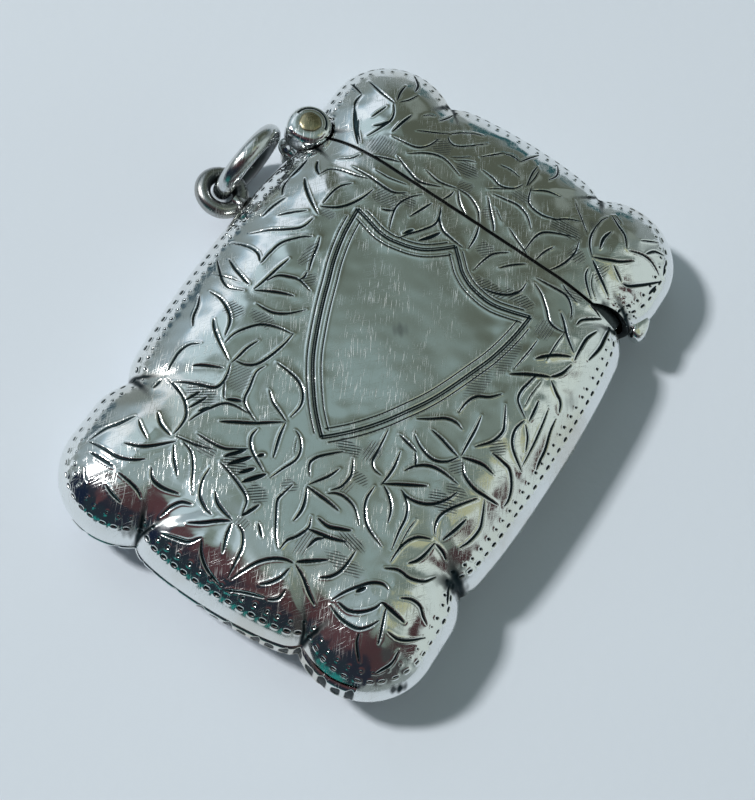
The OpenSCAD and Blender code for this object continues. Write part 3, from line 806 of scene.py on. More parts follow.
.24 -3.2 -22 -2.6 -22.9 -1.6 -23.6 -0.2 -24
.26 0.4 -23.4 0.9 -22.3 1.5 -21.2 2.3 -20.4 3.1 -19.95 3.8 -19.8
.30 3.9 -19.6 4.7 -19 5.9 -18.1
.26 3.95 -19.8 5 -20.3 6 -21 6.9 -21.5
.26 3.75 -20.3 3.6 -21.2 3.1 -22 2.5 -22.5
.24 4.4 -21.8 4.3 -22.6 3.6 -23.1
.20 3.4 -23.1 2 -23.5 0.5 -24.1
.30 3.3 -16.9 4.3 -16.7 5.2 -16.5 6.3 -16.1
.26 4 -18.2 4.2 -17.3 4.7 -16.8
.28 6.1 -19.6 6.8 -19 7.2 -18 7.25 -16.3
.25 -0.2 -18.7 0.7 -19.5
# base, right lobe
.26 7.8 -20.5 8.3 -19.5 9 -18.5 9.7 -17.7 10.4 -17.35 11 -17.45
.26 8.3 -20.4 9.3 -20.5 10.2 -20.1 10.9 -19.3 11.1 -18.6
.32 11.1 -18.6 12 -18.7 13.4 -18.85
.26 11.6 -18.8 12 -19.8 12.4 -20.8 12.6 -21.4
.35 9 -19 9.5 -18.3
.24 12.1 -17.5 12.9 -17.05 13.7 -17.05 14.3 -17.5 14.9 -17.8
.22 12.7 -20.25 13.6 -20.2 14.4 -19.7 15.3 -18.7
.22 7.9 -20.9 9.2 -21.3 10.6 -21.3 11.3 -20.7 11.7 -19.9
.20 10.9 -21.4 11.2 -22.2 12.1 -23.2
.24 14.2 -20.8 14.25 -21.8 13.9 -22.6 13.6 -23.1
"""


CUT_WEIGHT = 1.18


def read_cuts(text):
    """Turns the lines of numbers into smooth cuts with swelling widths."""
    cuts = []
    for line in text.splitlines():
        if line and not line.startswith("#"):
            numbers = [float(n) for n in line.split()]
            path = through(np.reshape(numbers[1:], (-1, 2)))
            cuts.append((path, swell(len(path), CUT_WEIGHT * numbers[0])))
    return cuts


leaf_cuts = read_cuts(LEAF_CUTS)
print("leaf cuts:", len(leaf_cuts))

# %% [markdown]
# ## The shield
# In the middle of the front an empty shield waits for a monogram. It has four lines: two close
# together, and a fine one on each side of them. One curve could be drawn for each, but they would
# not run parallel; so one is drawn, and the four are set off from it sideways along its normals.

# %% Shield lines
SHIELD_SIDE_R = [(8.45, 9.0), (8.2, 6.5), (7.7, 4.0), (7.05, 2.0), (6.35, 0.0), (5.55, -2.0), (4.5, -4.0),
                 (3.3, -6.0), (1.9, -7.9), (0.9, -9.0), (0.0, -9.9)]
SHIELD_SIDE_L = [(-8.5, 9.1), (-8.2, 6.5), (-7.6, 4.0), (-6.9, 2.0), (-6.2, 0.0), (-5.4, -2.0), (-4.4, -4.2),
                 (-3.3, -6.0), (-1.9, -7.9), (-0.9, -9.0), (0.0, -9.9)]
SHIELD_TOP_L = [(-8.5, 9.1), (-7.0, 8.65), (-6.0, 8.35), (-5.0, 8.25), (-4.0, 8.4), (-3.0, 8.65), (-2.0, 9.1),
                (-1.0, 9.9), (0.0, 10.9)]
SHIELD_TOP_R = [(0.0, 10.9), (1.0, 9.9), (1.7, 9.2), (2.7, 8.6), (3.7, 8.3), (4.7, 8.15), (5.7, 8.2),
                (6.9, 8.5), (8.45, 9.0)]
# distance inwards from the drawn curve, and width
SHIELD_LINES = [(0.08, 0.20), (-0.12, 0.16), (0.66, 0.15), (-0.50, 0.15)]


def set_off(line, by):
    """The line moved sideways, to its left for a positive distance."""
    run = np.gradient(line, axis=0)
    run /= np.hypot(*run.T)[:, None]
    return line + by * np.stack([-run[:, 1], run[:, 0]], -1)


def shield_cuts():
    cuts = []
    sides = [(SHIELD_SIDE_R, -1), (SHIELD_SIDE_L, 1), (SHIELD_TOP_L, -1), (SHIELD_TOP_R, -1)]
    for points, inward in sides:
        drawn = through(points)
        for by, width in SHIELD_LINES:
            line = set_off(drawn, by * inward)
            trim = 0 if abs(by) < 0.2 else 3
            line = line[trim:len(line) - trim]
            cuts.append((line, np.full(len(line), width / 2)))
    return cuts


shield = shield_cuts()
print("shield cuts:", len(shield))

# %% [markdown]
# ## The dotted border
# Two rows of punch marks follow the outline: short dashes outside, dots inside. An array along a
# curve would space them like a machine. Here they are walked along the outline, set in by the
# row's distance, with the small errors of a hand: in place, in weight, and lighter on the lobes of
# the base, where the punch met the roll aslant.

# %% Border punches
LIGHT_PUNCH = 0.62


def row_of_punches(inset_left, inset_right, pitch, length, width, seed):
    """One row of marks right round the case; the inset changes from the hinge side to the other."""
    bearing = np.linspace(0, 360, 2881)[:-1]
    near = outline(bearing, inset_left)
    far = outline(bearing, inset_right)
    share = np.clip((near[:, :1] + HALF_W) / (2 * HALF_W), 0, 1)
    line = near + (far - near) * share
    line = np.vstack([line, line[:1]])
    total = np.hypot(*np.diff(line, axis=0).T).sum()
    count = int(total / pitch)
    rng = np.random.default_rng(seed)
    at = (np.arange(count) + rng.uniform(-0.12, 0.12, count)) / count
    here = walk(line, np.clip(at, 0, 1))
    there = walk(line, np.clip(at + max(length, 0.02) / total, 0, 1))
    marks = []
    for a, b in zip(here, there):
        path = a + (b - a) * np.linspace(0, 1, 3)[:, None]
        on_base_lobe = a[1] < -17 and abs(a[0]) > 8
        half = (LIGHT_PUNCH if on_base_lobe else 1.0) * width / 2 * rng.uniform(0.85, 1.15)
        marks.append((path, np.array([0.8, 1.0, 0.8]) * half))
    return marks


dashes = row_of_punches(0.65, 1.15, pitch=1.0, length=0.34, width=0.24, seed=3)
dots = row_of_punches(1.35, 1.75, pitch=1.0, length=0.02, width=0.28, seed=4)
border = dashes + dots
print("border punches:", len(border))

# %% [markdown]
# ## Pits of wear
# The lid's corner beside the thumbpiece is pitted by years of thumbnails and grit. A noise texture
# would pit it evenly; a few dozen tiny cuts scattered round the spot are denser where it was
# touched most.

# %% Pits beside the thumbpiece
def pits(count=32):
    rng = np.random.default_rng(8)
    marks = []
    for x, y in np.column_stack([rng.normal(15.1, 0.65, count), rng.normal(15.2, 0.45, count)]):
        marks.append((np.array([[x, y], [x + 0.05, y + 0.03]]), np.full(2, rng.uniform(0.03, 0.10))))
    return marks


worn_pits = pits()
print("pits:", len(worn_pits))

# %% [markdown]
# ## Hatching
# Between the leaves the engraver laid patches of fine parallel lines as shade. They are finer
# than the mesh, so the mesh only carries where a patch is and which way its lines run, and the
# material draws the lines. A patch below is its centre, half sizes, line angle and strength.

# %% Hatched patches
HATCH = [(-10, 15.6, 1.1, 0.8, 90, 0.8), (-5.9, 18.6, 0.7, 0.7, 45, 0.9), (-3.0, 17.9, 0.9, 0.5, 10, 1.0),
         (-2.2, 16.3, 0.5, 0.4, 60, 0.9), (0.7, 15.4, 0.5, 0.5, 40, 0.8), (2.2, 18.4, 0.8, 0.25, 0, 0.8),
         (8.8, 16.4, 0.6, 0.5, 70, 0.9), (6.8, 18, 1.4, 0.6, 5, 1.0), (11.3, 16.4, 0.3, 0.7, 70, 0.8),
         (-7.2, 11.4, 1.1, 0.6, 60, 0.9), (-5.6, 12.3, 0.7, 0.35, 15, 0.9), (-10.4, 7.3, 0.5, 0.25, 60, 0.8),
         (2.2, 12.2, 0.6, 0.5, 45, 0.9), (4.4, 9.35, 1.4, 0.4, 60, 1.0), (6.8, 9.9, 1.3, 0.4, 60, 1.0),
         (10, 8.8, 0.6, 0.75, 90, 0.8), (10.4, 13.1, 0.7, 0.4, 20, 0.8), (8.7, 4.8, 0.5, 1.75, 30, 0.8),
         (7.9, 1.5, 0.6, 1.5, 30, 0.8), (-9.6, 3.2, 0.3, 1.1, 70, 0.9), (-8.3, 1.2, 0.4, 0.55, 50, 0.9),
         (-11.8, -4.6, 0.7, 0.5, 60, 1.0), (-9.4, -4.0, 1.0, 0.4, 60, 0.9), (-8.2, -9.4, 0.9, 1.1, 60, 0.7),
         (-9.8, -12.2, 1.2, 0.7, 35, 1.0), (-7.0, -15.9, 0.9, 0.35, 5, 0.9), (-4.4, -15.8, 0.9, 0.6, 30, 1.0),
         (0.1, -14.7, 0.5, 0.3, 40, 0.8), (-1.6, -16.8, 0.7, 0.6, 40, 1.0), (-1.2, -19.4, 0.4, 0.3, 80, 0.8),
         (4, -8.6, 0.5, 0.9, 90, 0.9), (2.3, -9.4, 0.9, 0.4, 25, 1.0), (4.3, -11.1, 0.6, 0.3, 60, 0.9),
         (3.75, -12.3, 0.3, 0.5, 80, 0.8), (10.8, -9.0, 1.1, 0.6, 25, 1.0), (10.2, -5.8, 0.5, 0.5, 50, 0.9),
         (12.1, -2.4, 0.5, 0.6, 45, 0.9), (6.6, -15.9, 1.0, 0.35, -15, 1.0), (7.0, -17.7, 1.5, 0.45, 20, 0.9),
         (3.6, -18, 0.4, 1.0, 90, 0.8), (11.2, -7.6, 0.8, 0.3, 25, 0.9)]


def hatch_at(x, y):
    """Strength and direction of the hatching at each point."""
    strength, turn = np.zeros(len(x)), np.zeros(len(x))
    for cx, cy, rx, ry, angle, most in HATCH:
        far = (abs((x - cx) / (rx + 0.25)) ** 3 + abs((y - cy) / (ry + 0.25)) ** 3) ** (1 / 3)
        ragged = 0.12 * np.sin(5.3 * x + 3.1 * y) * np.sin(4.1 * y - 2.2 * x)
        here = most * np.clip(3.5 * (1 - far + ragged), 0, 1)
        turn = np.where(here > strength, math.radians(angle), turn)
        strength = np.maximum(strength, here)
    return strength, turn


print("hatched patches:", len(HATCH))

# %% [markdown]
# ## Shared finishes
# Three effects come back in several materials or would crowd one, so each is a node group: the
# cloudy tarnish of handled silver, the hair-fine scratches of a century in pockets, and engraved
# hatching. Painted textures would do for one view; these are worked out from the place on the
# piece, so they need no unwrapping and hold at any distance. A group puts out masks only, and the
# material decides what to do with them.

# %% Tarnish group
def new_group(name, inputs, outputs):
    group = bpy.data.node_groups.new(name, "ShaderNodeTree")
    for socket, kind, value in inputs:
        made = group.interface.new_socket(socket, in_out="INPUT", socket_type=kind)
        if value is not None:
            made.default_value = value
    for socket, kind in outputs:
        group.interface.new_socket(socket, in_out="OUTPUT", socket_type=kind)
    return group, group.nodes.new("NodeGroupInput").outputs, group.nodes.new("NodeGroupOutput").inputs


def tarnish_group():
    tree, given, out = new_group("handled_silver_tarnish", [("Spread", "NodeSocketFloat", 1.0)],
                                 [("Cloud", "NodeSocketFloat"), ("Smudge", "NodeSocketFloat")])
    where = add_node(tree, "ShaderNodeTexCoord").outputs["Object"]
    broad = add_node(tree, "ShaderNodeTexNoise", Vector=where, Scale=110.0, Detail=5.0, Roughness=0.6)
    fine = add_node(tree, "ShaderNodeTexNoise", Vector=where, Scale=900.0, Detail=4.0, Roughness=0.65)
    cloud = ease(tree, broad.outputs["Fac"], 0.48, 0.74)
    plug(tree, out["Cloud"], maths(tree, "MULTIPLY", cloud, given["Spread"], True))
    mixed = maths(tree, "MULTIPLY", broad.outputs["Fac"], fine.outputs["Fac"])
    plug(tree, out["Smudge"], ease(tree, mixed, 0.15, 0.42))
    return tree


TARNISH = tarnish_group()
print("group:", TARNISH.name)

# %% Scratch group
def scratch_group():
    tree, given, out = new_group(
        "pocket_scratches", [("Angle", "NodeSocketFloat", 0.0), ("Length", "NodeSocketFloat", 14.0)],
        [("Scratch", "NodeSocketFloat")])
    where = add_node(tree, "ShaderNodeTexCoord").outputs["Object"]
    turned = add_node(tree, "ShaderNodeVectorRotate", {"rotation_type": "Z_AXIS"},
                      Vector=where, Angle=given["Angle"])
    bend = add_node(tree, "ShaderNodeTexNoise", Vector=where, Scale=180.0, Detail=1.0)
    shift = add_node(tree, "ShaderNodeVectorMath", {"operation": "MULTIPLY_ADD"})
    plug(tree, shift.inputs[0], bend.outputs["Color"])
    shift.inputs[1].default_value = (0.0006, 0.0006, 0)
    plug(tree, shift.inputs[2], turned.outputs["Vector"])
    apart = add_node(tree, "ShaderNodeSeparateXYZ", Vector=shift.outputs["Vector"])
    across = maths(tree, "MULTIPLY", apart.outputs["X"], given["Length"])
    squeezed = add_node(tree, "ShaderNodeCombineXYZ",
                        X=across, Y=apart.outputs["Y"], Z=apart.outputs["Z"])
    hair = add_node(tree, "ShaderNodeTexNoise",
                    Vector=squeezed.outputs["Vector"], Scale=620.0, Detail=2.0)
    worn = add_node(tree, "ShaderNodeTexNoise", Vector=where, Scale=260.0, Detail=3.0)
    often = ease(tree, worn.outputs["Fac"], 0.36, 0.58)
    lines = ease(tree, hair.outputs["Fac"], 0.585, 0.70)
    plug(tree, out["Scratch"], maths(tree, "MULTIPLY", lines, often))
    return tree


SCRATCHES = scratch_group()
print("group:", SCRATCHES.name)

# %% Hatching group
HATCH_PITCH = 0.23 * MM


def hatching_group():
    tree, given, out = new_group(
        "engraved_hatching", [("Strength", "NodeSocketFloat", 0.0), ("Turn", "NodeSocketFloat", 0.0)],
        [("Line", "NodeSocketFloat")])
    where = add_node(tree, "ShaderNodeTexCoord").outputs["Object"]
    apart = add_node(tree, "ShaderNodeSeparateXYZ", Vector=where)
    sine = maths(tree, "SINE", given["Turn"])
    cosine = maths(tree, "COSINE", given["Turn"])
    across = maths(tree, "SUBTRACT", maths(tree, "MULTIPLY", apart.outputs["X"], sine),
                   maths(tree, "MULTIPLY", apart.outputs["Y"], cosine))
    wave = maths(tree, "SINE", maths(tree, "MULTIPLY", across, 2 * math.pi / HATCH_PITCH))
    line = maths(tree, "ADD", maths(tree, "MULTIPLY", ease(tree, wave, 0.0, 0.7), 0.8), 0.15)
    plug(tree, out["Line"], maths(tree, "MULTIPLY", line, given["Strength"], True))
    return tree


HATCHING = hatching_group()
print("group:", HATCHING.name)

# %% [markdown]
# ## Silver
# The metal is the Principled shader with full metallic. Old silver could be had from one grey with
# some roughness, but then it looks like chrome or like paint. Three things prevent that: tarnish
# left in every recess, with painted shade added in the valleys, seams and hollows, a roughness
# that wanders with handling, and scratches that catch the light.

# %% Silver material
SILVER, BLACK, STRAW = (0.865, 0.885, 0.88, 1), (0.013, 0.023, 0.027, 1), (0.60, 0.50, 0.33, 1)


def use_group(tree, group, **sockets):
    node = tree.nodes.new("ShaderNodeGroup")
    node.node_tree = group
    for key, value in sockets.items():
        plug(tree, node.inputs[key], value)
    return node.outputs


def silver_material(name, engraved=False, polish=0.09, spread=0.5, scratch=0.5, metal=SILVER):
    material = bpy.data.materials.new(name)
    material.use_nodes = True
    tree = material.node_tree
    shader = tree.nodes["Principled BSDF"]
    shader.inputs["Metallic"].default_value = 1.0
    tarnish = use_group(tree, TARNISH, Spread=spread)
    first = use_group(tree, SCRATCHES, Angle=-0.46, Length=28.0)["Scratch"]
    second = use_group(tree, SCRATCHES, Angle=0.7, Length=34.0)["Scratch"]
    hair = maths(tree, "MAXIMUM", first, maths(tree, "MULTIPLY", second, 0.6))
    black = maths(tree, "MULTIPLY", tarnish["Cloud"], 0.12)
    toned = maths(tree, "MULTIPLY", tarnish["Cloud"], 0.6)
    groove = add_node(tree, "ShaderNodeAttribute", {"attribute_name": "cut"}).outputs["Fac"]
    # the 'tarnish' attribute holds dirt and painted shade together: dark valleys, seams, insides and the
    # shaded sides of knuckles and wire
    dirt_and_shade = add_node(tree, "ShaderNodeAttribute", {"attribute_name": "tarnish"}).outputs["Fac"]
    oxide_dirt_and_shade = maths(tree, "MAXIMUM", ease(tree, groove, -0.02, 0.02), dirt_and_shade)
    black = maths(tree, "MAXIMUM", black, oxide_dirt_and_shade, True)
    if engraved:
        strength = add_node(tree, "ShaderNodeAttribute", {"attribute_name": "hatch"}).outputs["Fac"]
        turn = add_node(tree, "ShaderNodeAttribute", {"attribute_name": "hatch_turn"}).outputs["Fac"]
        lines = use_group(tree, HATCHING, Strength=strength, Turn=turn)["Line"]
        black = maths(tree, "MAXIMUM", black, lines, True)
    plug(tree, shader.inputs["Base Color"], blend(tree, black, blend(tree, toned, metal, STRAW), BLACK))
    rough = maths(tree, "ADD", polish, maths(tree, "MULTIPLY", tarnish["Smudge"], 0.06))
    rough = maths(tree, "ADD", rough, maths(tree, "MULTIPLY", hair, 0.32))
    rough = maths(tree, "ADD", rough, maths(tree, "MULTIPLY", black, 0.30))
    plug(tree, shader.inputs["Roughness"], rough)
    relief = maths(tree, "MULTIPLY", hair, -scratch)
    if engraved:
        relief = maths(tree, "SUBTRACT", relief, maths(tree, "MULTIPLY", lines, 1.6))
    bump = add_node(tree, "ShaderNodeBump", Strength=0.35, Distance=0.00002, Height=relief)
    plug(tree, shader.inputs["Normal"], bump.outputs["Normal"])
    return material


ENGRAVED_SILVER = silver_material("engraved_silver", True)
PLAIN_SILVER = silver_material("plain_silver", polish=0.07, spread=0.8)
print("materials:", ENGRAVED_SILVER.name, PLAIN_SILVER.name)

# %% [markdown]
# ## From points to a piece
# Every piece below is worked out as points and faces. Primitives and modifiers would do for some of
# them, but the cuts, the dirt, the painted shade and the wear are known point by point, and a mesh
# made from arrays keeps them together. The helper makes the object, lets it ride on its body, hides
# the solid it stands for, and stores how dark each point is painted, by dirt and by painted shade.

# %% Mesh helper
def mesh_piece(name, node, points, faces, material, body, tarnish=0.0, cut=NO_CUT):
    """A new piece from points in millimetres, in the place of a node and riding on its body."""
    mesh = bpy.data.meshes.new(name)
    mesh.from_pydata((np.asarray(points) * MM).tolist(), [], faces)
    mesh.polygons.foreach_set("use_smooth", np.full(len(mesh.polygons), True))
    mesh.materials.append(material)
    mesh.update()
    piece = bpy.data.objects.new(name, mesh)
    bpy.context.scene.collection.objects.link(piece)
    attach(piece, body)
    if node:
        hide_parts(node)
    # the 'tarnish' values hold dirt and painted shade together
    write_values(piece, "tarnish", np.zeros(len(points)) + tarnish)
    write_values(piece, "cut", np.zeros(len(points)) + cut)
    print(name, len(points), "points,", round(time.time() - started, 1), "s")
    return piece


def write_values(piece, name, values):
    """Stores one number per point, which a material reads with an Attribute node."""
    layer = piece.data.attributes.new(name, "FLOAT", "POINT")
    layer.data.foreach_set("value", np.asarray(values, np.float32))


def grid_quads(rows, cols, base=0):
    """Faces between the points of a grid, whose first point has the number base."""
    a = (np.arange(rows - 1)[:, None] * cols + np.arange(cols - 1)).ravel() + base
    return np.stack([a, a + 1, a + cols + 1, a + cols], -1)


print("a grid of 3 by 3 points has", len(grid_quads(3, 3)), "faces")

# %% [markdown]
# ## Age of the sheet
# Old sheet silver isn't flat: it was beaten, pressed and carried. Black tarnish, with painted shade
# over it, darkens the valleys between the swellings, and a few stains never came off. Displacement
# and dirt textures could do this in the material; worked out per point, the same values bend the
# mesh and colour it.

# %% Unevenness
def wavy(x, y):
    """The slow unevenness of hand-finished sheet, in millimetres; the shield is calmer."""
    rng = np.random.default_rng(11)
    calm = 0.3 + 0.7 * np.clip((np.hypot(x / 7.6, (y - 2) / 9) - 0.7) / 0.4, 0, 1)
    total = 0.026 * np.sin(0.55 * x + 0.3 * y) * np.sin(0.42 * y - 0.2 * x + 1.0)
    for length, most in ((5.0, 0.007), (3.6, 0.005), (2.6, 0.004), (1.9, 0.003), (1.4, 0.0022)):
        for heading, start in rng.uniform(0, 2 * np.pi, (3, 2)):
            across = x * np.cos(heading) + y * np.sin(heading)
            total = total + calm * most * np.sin(2 * np.pi / length * across + start)
    return total


print("unevenness in the middle:", round(float(wavy(np.zeros(1), np.zeros(1))[0]) * 1000), "micrometres")

# %% Tarnish and painted shade in the valleys, and stains
# centre x, y, z, radius and strength of each stain on the front
STAINS = [(15.88, -22.68, 5.1, 0.5, 1.0), (15.5, -23.05, 5.2, 0.42, 0.9), (13.05, 14.25, 7.3, 0.38, 0.8),
          (15.1, 14.9, 6.1, 0.5, 0.85), (0.2, 1.7, 8.3, 0.5, 0.45), (15.0, 5.0, 7.0, 0.55, 0.3),
          (8.6, 19.9, 7.7, 0.45, 0.5), (7.6, -23.6, 5.7, 0.6, 0.6), (-8.3, -23.9, 5.6, 0.7, 0.6)]


def valley_tarnish_and_shade(x, y):
    """Tarnish and painted shade in the valleys; the lower right one is widest."""
    each = np.sort(swellings(x, y), axis=0)
    wide = 0.20 + 0.30 * np.exp(-((x - 14.8) ** 2 + (y + 13.3) ** 2) / 5)
    ragged = 1 + 0.25 * np.sin(7 * x + 5 * y) * np.sin(6 * y - 3 * x)
    return np.exp(-((each[3] - each[2]) * ragged / wide) ** 4) * np.clip(1.9 - each[3] / 1.6, 0, 1)


def stain(points):
    """How dark the stains make each point."""
    dark = np.zeros(len(points))
    ragged = 0.25 * np.sin(9 * points[:, 0] + 7 * points[:, 1])
    for *centre, r, strength in STAINS:
        far = np.linalg.norm((points - centre) * [1, 1, 1.3], axis=1)
        dark = np.maximum(dark, strength * np.clip(1.5 - far / r + ragged, 0, 1))
    return dark


print("stains:", len(STAINS))

# %% [markdown]
# ## The stamped shells
# Front and back of the body and of the lid are four pressings of half-millimetre sheet. A Solidify
# modifier could thicken one skin, but it would repeat every cut on the inside. So each shell is an
# outer skin with the cuts in it, a coarser, plain inner skin, and a rim that joins them. Round the
# hinge the sheet is filed away, so points inside the barrel's room are pushed out to its edge.

# %% Hinge room and normals
HINGE = np.array([-16.5, 14.4474])
BARREL_ROOM, SEAT_ROOM, MIDDLE_HALF = 2.15, 1.95, 1.04


def hinge_room(z, is_lid):
    """Radius that the sheet keeps from the hinge axis: more where the other part's knuckle turns."""
    middle = abs(z - MID) < MIDDLE_HALF
    return np.where(middle != is_lid, BARREL_ROOM, SEAT_ROOM)


def clear_of_hinge(points, room):
    """Pushes points out of the room round the hinge, and says which were moved."""
    out = points[:, :2] - HINGE
    away = np.hypot(*out.T)
    lost = away < room
    room = np.broadcast_to(room, away.shape)
    points[lost, :2] = HINGE + out[lost] / np.maximum(away[lost], 1e-6)[:, None] * room[lost][:, None]
    return lost


def slopes(x, y, up):
    """Unit normals of the face."""
    e = 0.004
    zx = (height(x + e, y, up) - height(x - e, y, up)) / (2 * e)
    zy = (height(x, y + e, up) - height(x, y - e, up)) / (2 * e)
    n = np.stack([-zx, -zy, np.ones(len(x))], -1) * up
    return n / np.linalg.norm(n, axis=1)[:, None]


print("hinge axis at", HINGE, "mm")

# %% Skins of a shell
INNER_STEP = 6


def shell_skins(flat, is_lid, up, across, along, cuts):
    """Outer and inner points, how far inside a cut each outer one lies, and the inner grid's size."""
    x, y = flat.T
    deep, inside = carve(Squares(x, y), cuts)
    uneven = wavy(x, y) * np.clip(depth(x, y) / 3, 0, 1)
    outer = np.stack([x, y, height(x, y, up)], -1) - slopes(x, y, up) * (deep + uneven)[:, None]
    if up < 0:
        outer[:, 2] = np.maximum(outer[:, 2], 0.0)
    coarse_u, coarse_v = across[::INNER_STEP], along[::INNER_STEP]
    if (len(across) - 1) % INNER_STEP:
        coarse_u = np.append(coarse_u, across[-1])
    if (len(along) - 1) % INNER_STEP:
        coarse_v = np.append(coarse_v, along[-1])
    inner_xy = lace_grid(is_lid, WALL, coarse_u, coarse_v).reshape(-1, 2)
    inner = np.column_stack([inner_xy, height(*inner_xy.T, up, WALL)])
    return outer, inner, inside, (len(coarse_v), len(coarse_u))


print("the inner skin keeps one line in", INNER_STEP)

# %% Faces of a shell
def shell_faces(outer_grid, inner_grid, lost, flip):
    """Both skins, and the rim at the cut between lid and body, without what the hinge takes away."""
    (rows, cols), (inner_rows, inner_cols) = outer_grid, inner_grid
    inner_base = rows * cols
    skins = [(grid_quads(rows, cols), flip),
             (grid_quads(inner_rows, inner_cols, inner_base), not flip)]
    faces = []
    for quads, turned in skins:
        quads = quads[~lost[quads].all(axis=1)]
        faces += (quads[:, ::-1] if turned else quads).tolist()
    last, inner_last = (rows - 1) * cols, inner_base + (inner_rows - 1) * inner_cols
    for k in range(inner_cols - 1):
        a, b = k * INNER_STEP, min((k + 1) * INNER_STEP, cols - 1)
        strip = [last + i for i in range(a, b + 1)] + [inner_last + k + 1, inner_last + k]
        if not lost[strip].all():
            faces.append(strip if flip else strip[::-1])
    return faces


def sharpen(piece, on_edge):
    """Keeps the shading crisp along the edges between the given points."""
    ends = np.zeros(2 * len(piece.data.edges), int)
    piece.data.edges.foreach_get("vertices", ends)
    layer = piece.data.attributes.new("sharp_edge", "BOOLEAN", "EDGE")
    layer.data.foreach_set("value", on_edge[ends.reshape(-1, 2)].all(axis=1))


print("a shell's rim has", len(ACROSS[::INNER_STEP]) - 1, "strips")

# %% Shell builder
# the rim at the seam, the inner skin and, almost black, the inner skin at the worn corner are painted dark:
# dirt, and painted shade of the gap between lid and body
RIM_DIRT_AND_SHADE, INSIDE_DIRT_AND_SHADE, MOUTH_DIRT_AND_SHADE = 0.9, 0.25, 0.97


def make_shell(name, node, is_lid, up, cuts):
    """One of the four shells; the backs have half the points of the fronts."""
    along, across = ALONG_LID if is_lid else ALONG_BODY, ACROSS
    if up < 0:
        across, along = across[::2], along[::2]
    flat = lace_grid(is_lid, 0.0, across, along).reshape(-1, 2)
    outer, inner, inside, inner_grid = shell_skins(flat, is_lid, up, across, along, cuts)
    n, last = len(outer), len(outer) - len(across)
    dirt_and_shade = valley_tarnish_and_shade(*flat.T)
    # valleys get tarnish and painted shade, stains are real, and the rim at the seam gets dirt and painted
    # shade
    if up > 0:
        dirt_and_shade = np.maximum(dirt_and_shade, stain(outer))
    dirt_and_shade[last:] = RIM_DIRT_AND_SHADE
    worn_corner = (inner[:, 0] > 10) & (abs(inner[:, 1] - LID_Y) < 3)
    # inside of the sheet painted a little dark, and almost black at the worn corner: painted shade in the
    # open slit, with dirt
    mouth = np.where(worn_corner, MOUTH_DIRT_AND_SHADE, INSIDE_DIRT_AND_SHADE)
    points = np.vstack([outer, inner])
    lost = clear_of_hinge(points, hinge_room(points[:, 2], is_lid))
    faces = shell_faces((len(along), len(across)), inner_grid, lost, (up > 0) == is_lid)
    pad = np.zeros(len(inner))
    piece = mesh_piece(name, node, points, faces, ENGRAVED_SILVER, "lid" if is_lid else "case",
                       np.concatenate([dirt_and_shade, mouth]), np.concatenate([inside, pad + NO_CUT]))
    rim = np.zeros(len(points), bool)
    rim[last:n] = True
    sharpen(piece, rim)
    hatch, turn = hatch_at(*flat.T) if up > 0 else (np.zeros(n), np.zeros(n))
    write_values(piece, "hatch", np.concatenate([hatch, pad]))
    write_values(piece, "hatch_turn", np.concatenate([turn, pad]))


print("rim dirt:", RIM_DIRT_AND_SHADE, "inside:", INSIDE_DIRT_AND_SHADE)

# %% [markdown]
# ## The middle of the back
# On the back the same leaves run the other way round, and a spray of smaller ones fills the middle,
# where the front has its shield. These are alike, so a rule makes them: stems, and a fan of three
# leaves at the end of each.

# %% Sprays for the middle of the back
STEMS = [[(0, -9.4), (0.4, -5), (-0.3, 0), (0, 4)], [(0.3, -6.3), (1.1, -5.8), (1.8, -5)],
         [(0.4, -5), (-0.8, -4.7), (-1.8, -4.6)], [(-0.1, -1.4), (-1.6, -0.8), (-3, 0.2)],
         [(-0.1, -0.6), (1.6, -0.4), (3, 0.4)], [(-3, 0.2), (-4.8, 2.4), (-5.2, 5)],
         [(3, 0.4), (4.8, 2.6), (5.2, 5)]]
# where each spray sits, and the bearing of its middle leaf
SPRAYS = [(0, 4, 90), (-5.2, 5, 105), (5.2, 5, 75), (-3, 0.2, 150), (3, 0.4, 30), (-1.8, -4.6, 165),
          (1.8, -5, 20)]
FAN, SPRAY_CUT = 62, 0.28


def leaf(x, y, heading, long=3.8, wide=1.1):
    """Two bowed edges and a rib."""
    ahead = np.array([math.cos(heading), math.sin(heading)])
    aside = np.array([-ahead[1], ahead[0]])
    lines = [([0, 0.35, 0.75, 1.0], [0, s, 0.7 * s, 0]) for s in (wide, -wide)]
    lines.append(([0.12, 0.4, 0.72], [0, 0.06, 0]))
    base = np.array([x, y])
    return [through([base + a * long * ahead + b * aside for a, b in zip(*line)]) for line in lines]


def back_sprays():
    paths = [through(stem) for stem in STEMS]
    for x, y, turn in SPRAYS:
        for fan in (-FAN, 0, FAN):
            paths += leaf(x, y, math.radians(turn + fan))
    return [(path, swell(len(path), SPRAY_CUT)) for path in paths]


sprays = back_sprays()
print("cuts in the sprays:", len(sprays))

# %% Front and back, body and lid
front_cuts = leaf_cuts + shield + border + worn_pits
back_cuts = [(path * [-1, 1], half) for path, half in leaf_cuts] + sprays + border
make_shell("engraved_front", "front_shell", False, 1, front_cuts)
make_shell("engraved_back", "back_shell", False, -1, back_cuts)
make_shell("engraved_lid_front", "lid_front_shell", True, 1, front_cuts)
make_shell("engraved_lid_back", "lid_back_shell", True, -1, back_cuts)

# %% [markdown]
# ## The hinge
# Three knuckles of rolled strip turn on a pin whose ends are hammered over. A cylinder with a bevel
# would come near, but the groove where the strip's edge lies needs points of its own. So each
# knuckle is a profile swung round the pin's axis, like work on a lathe, with soft edges; then the
# groove is pressed into its end.

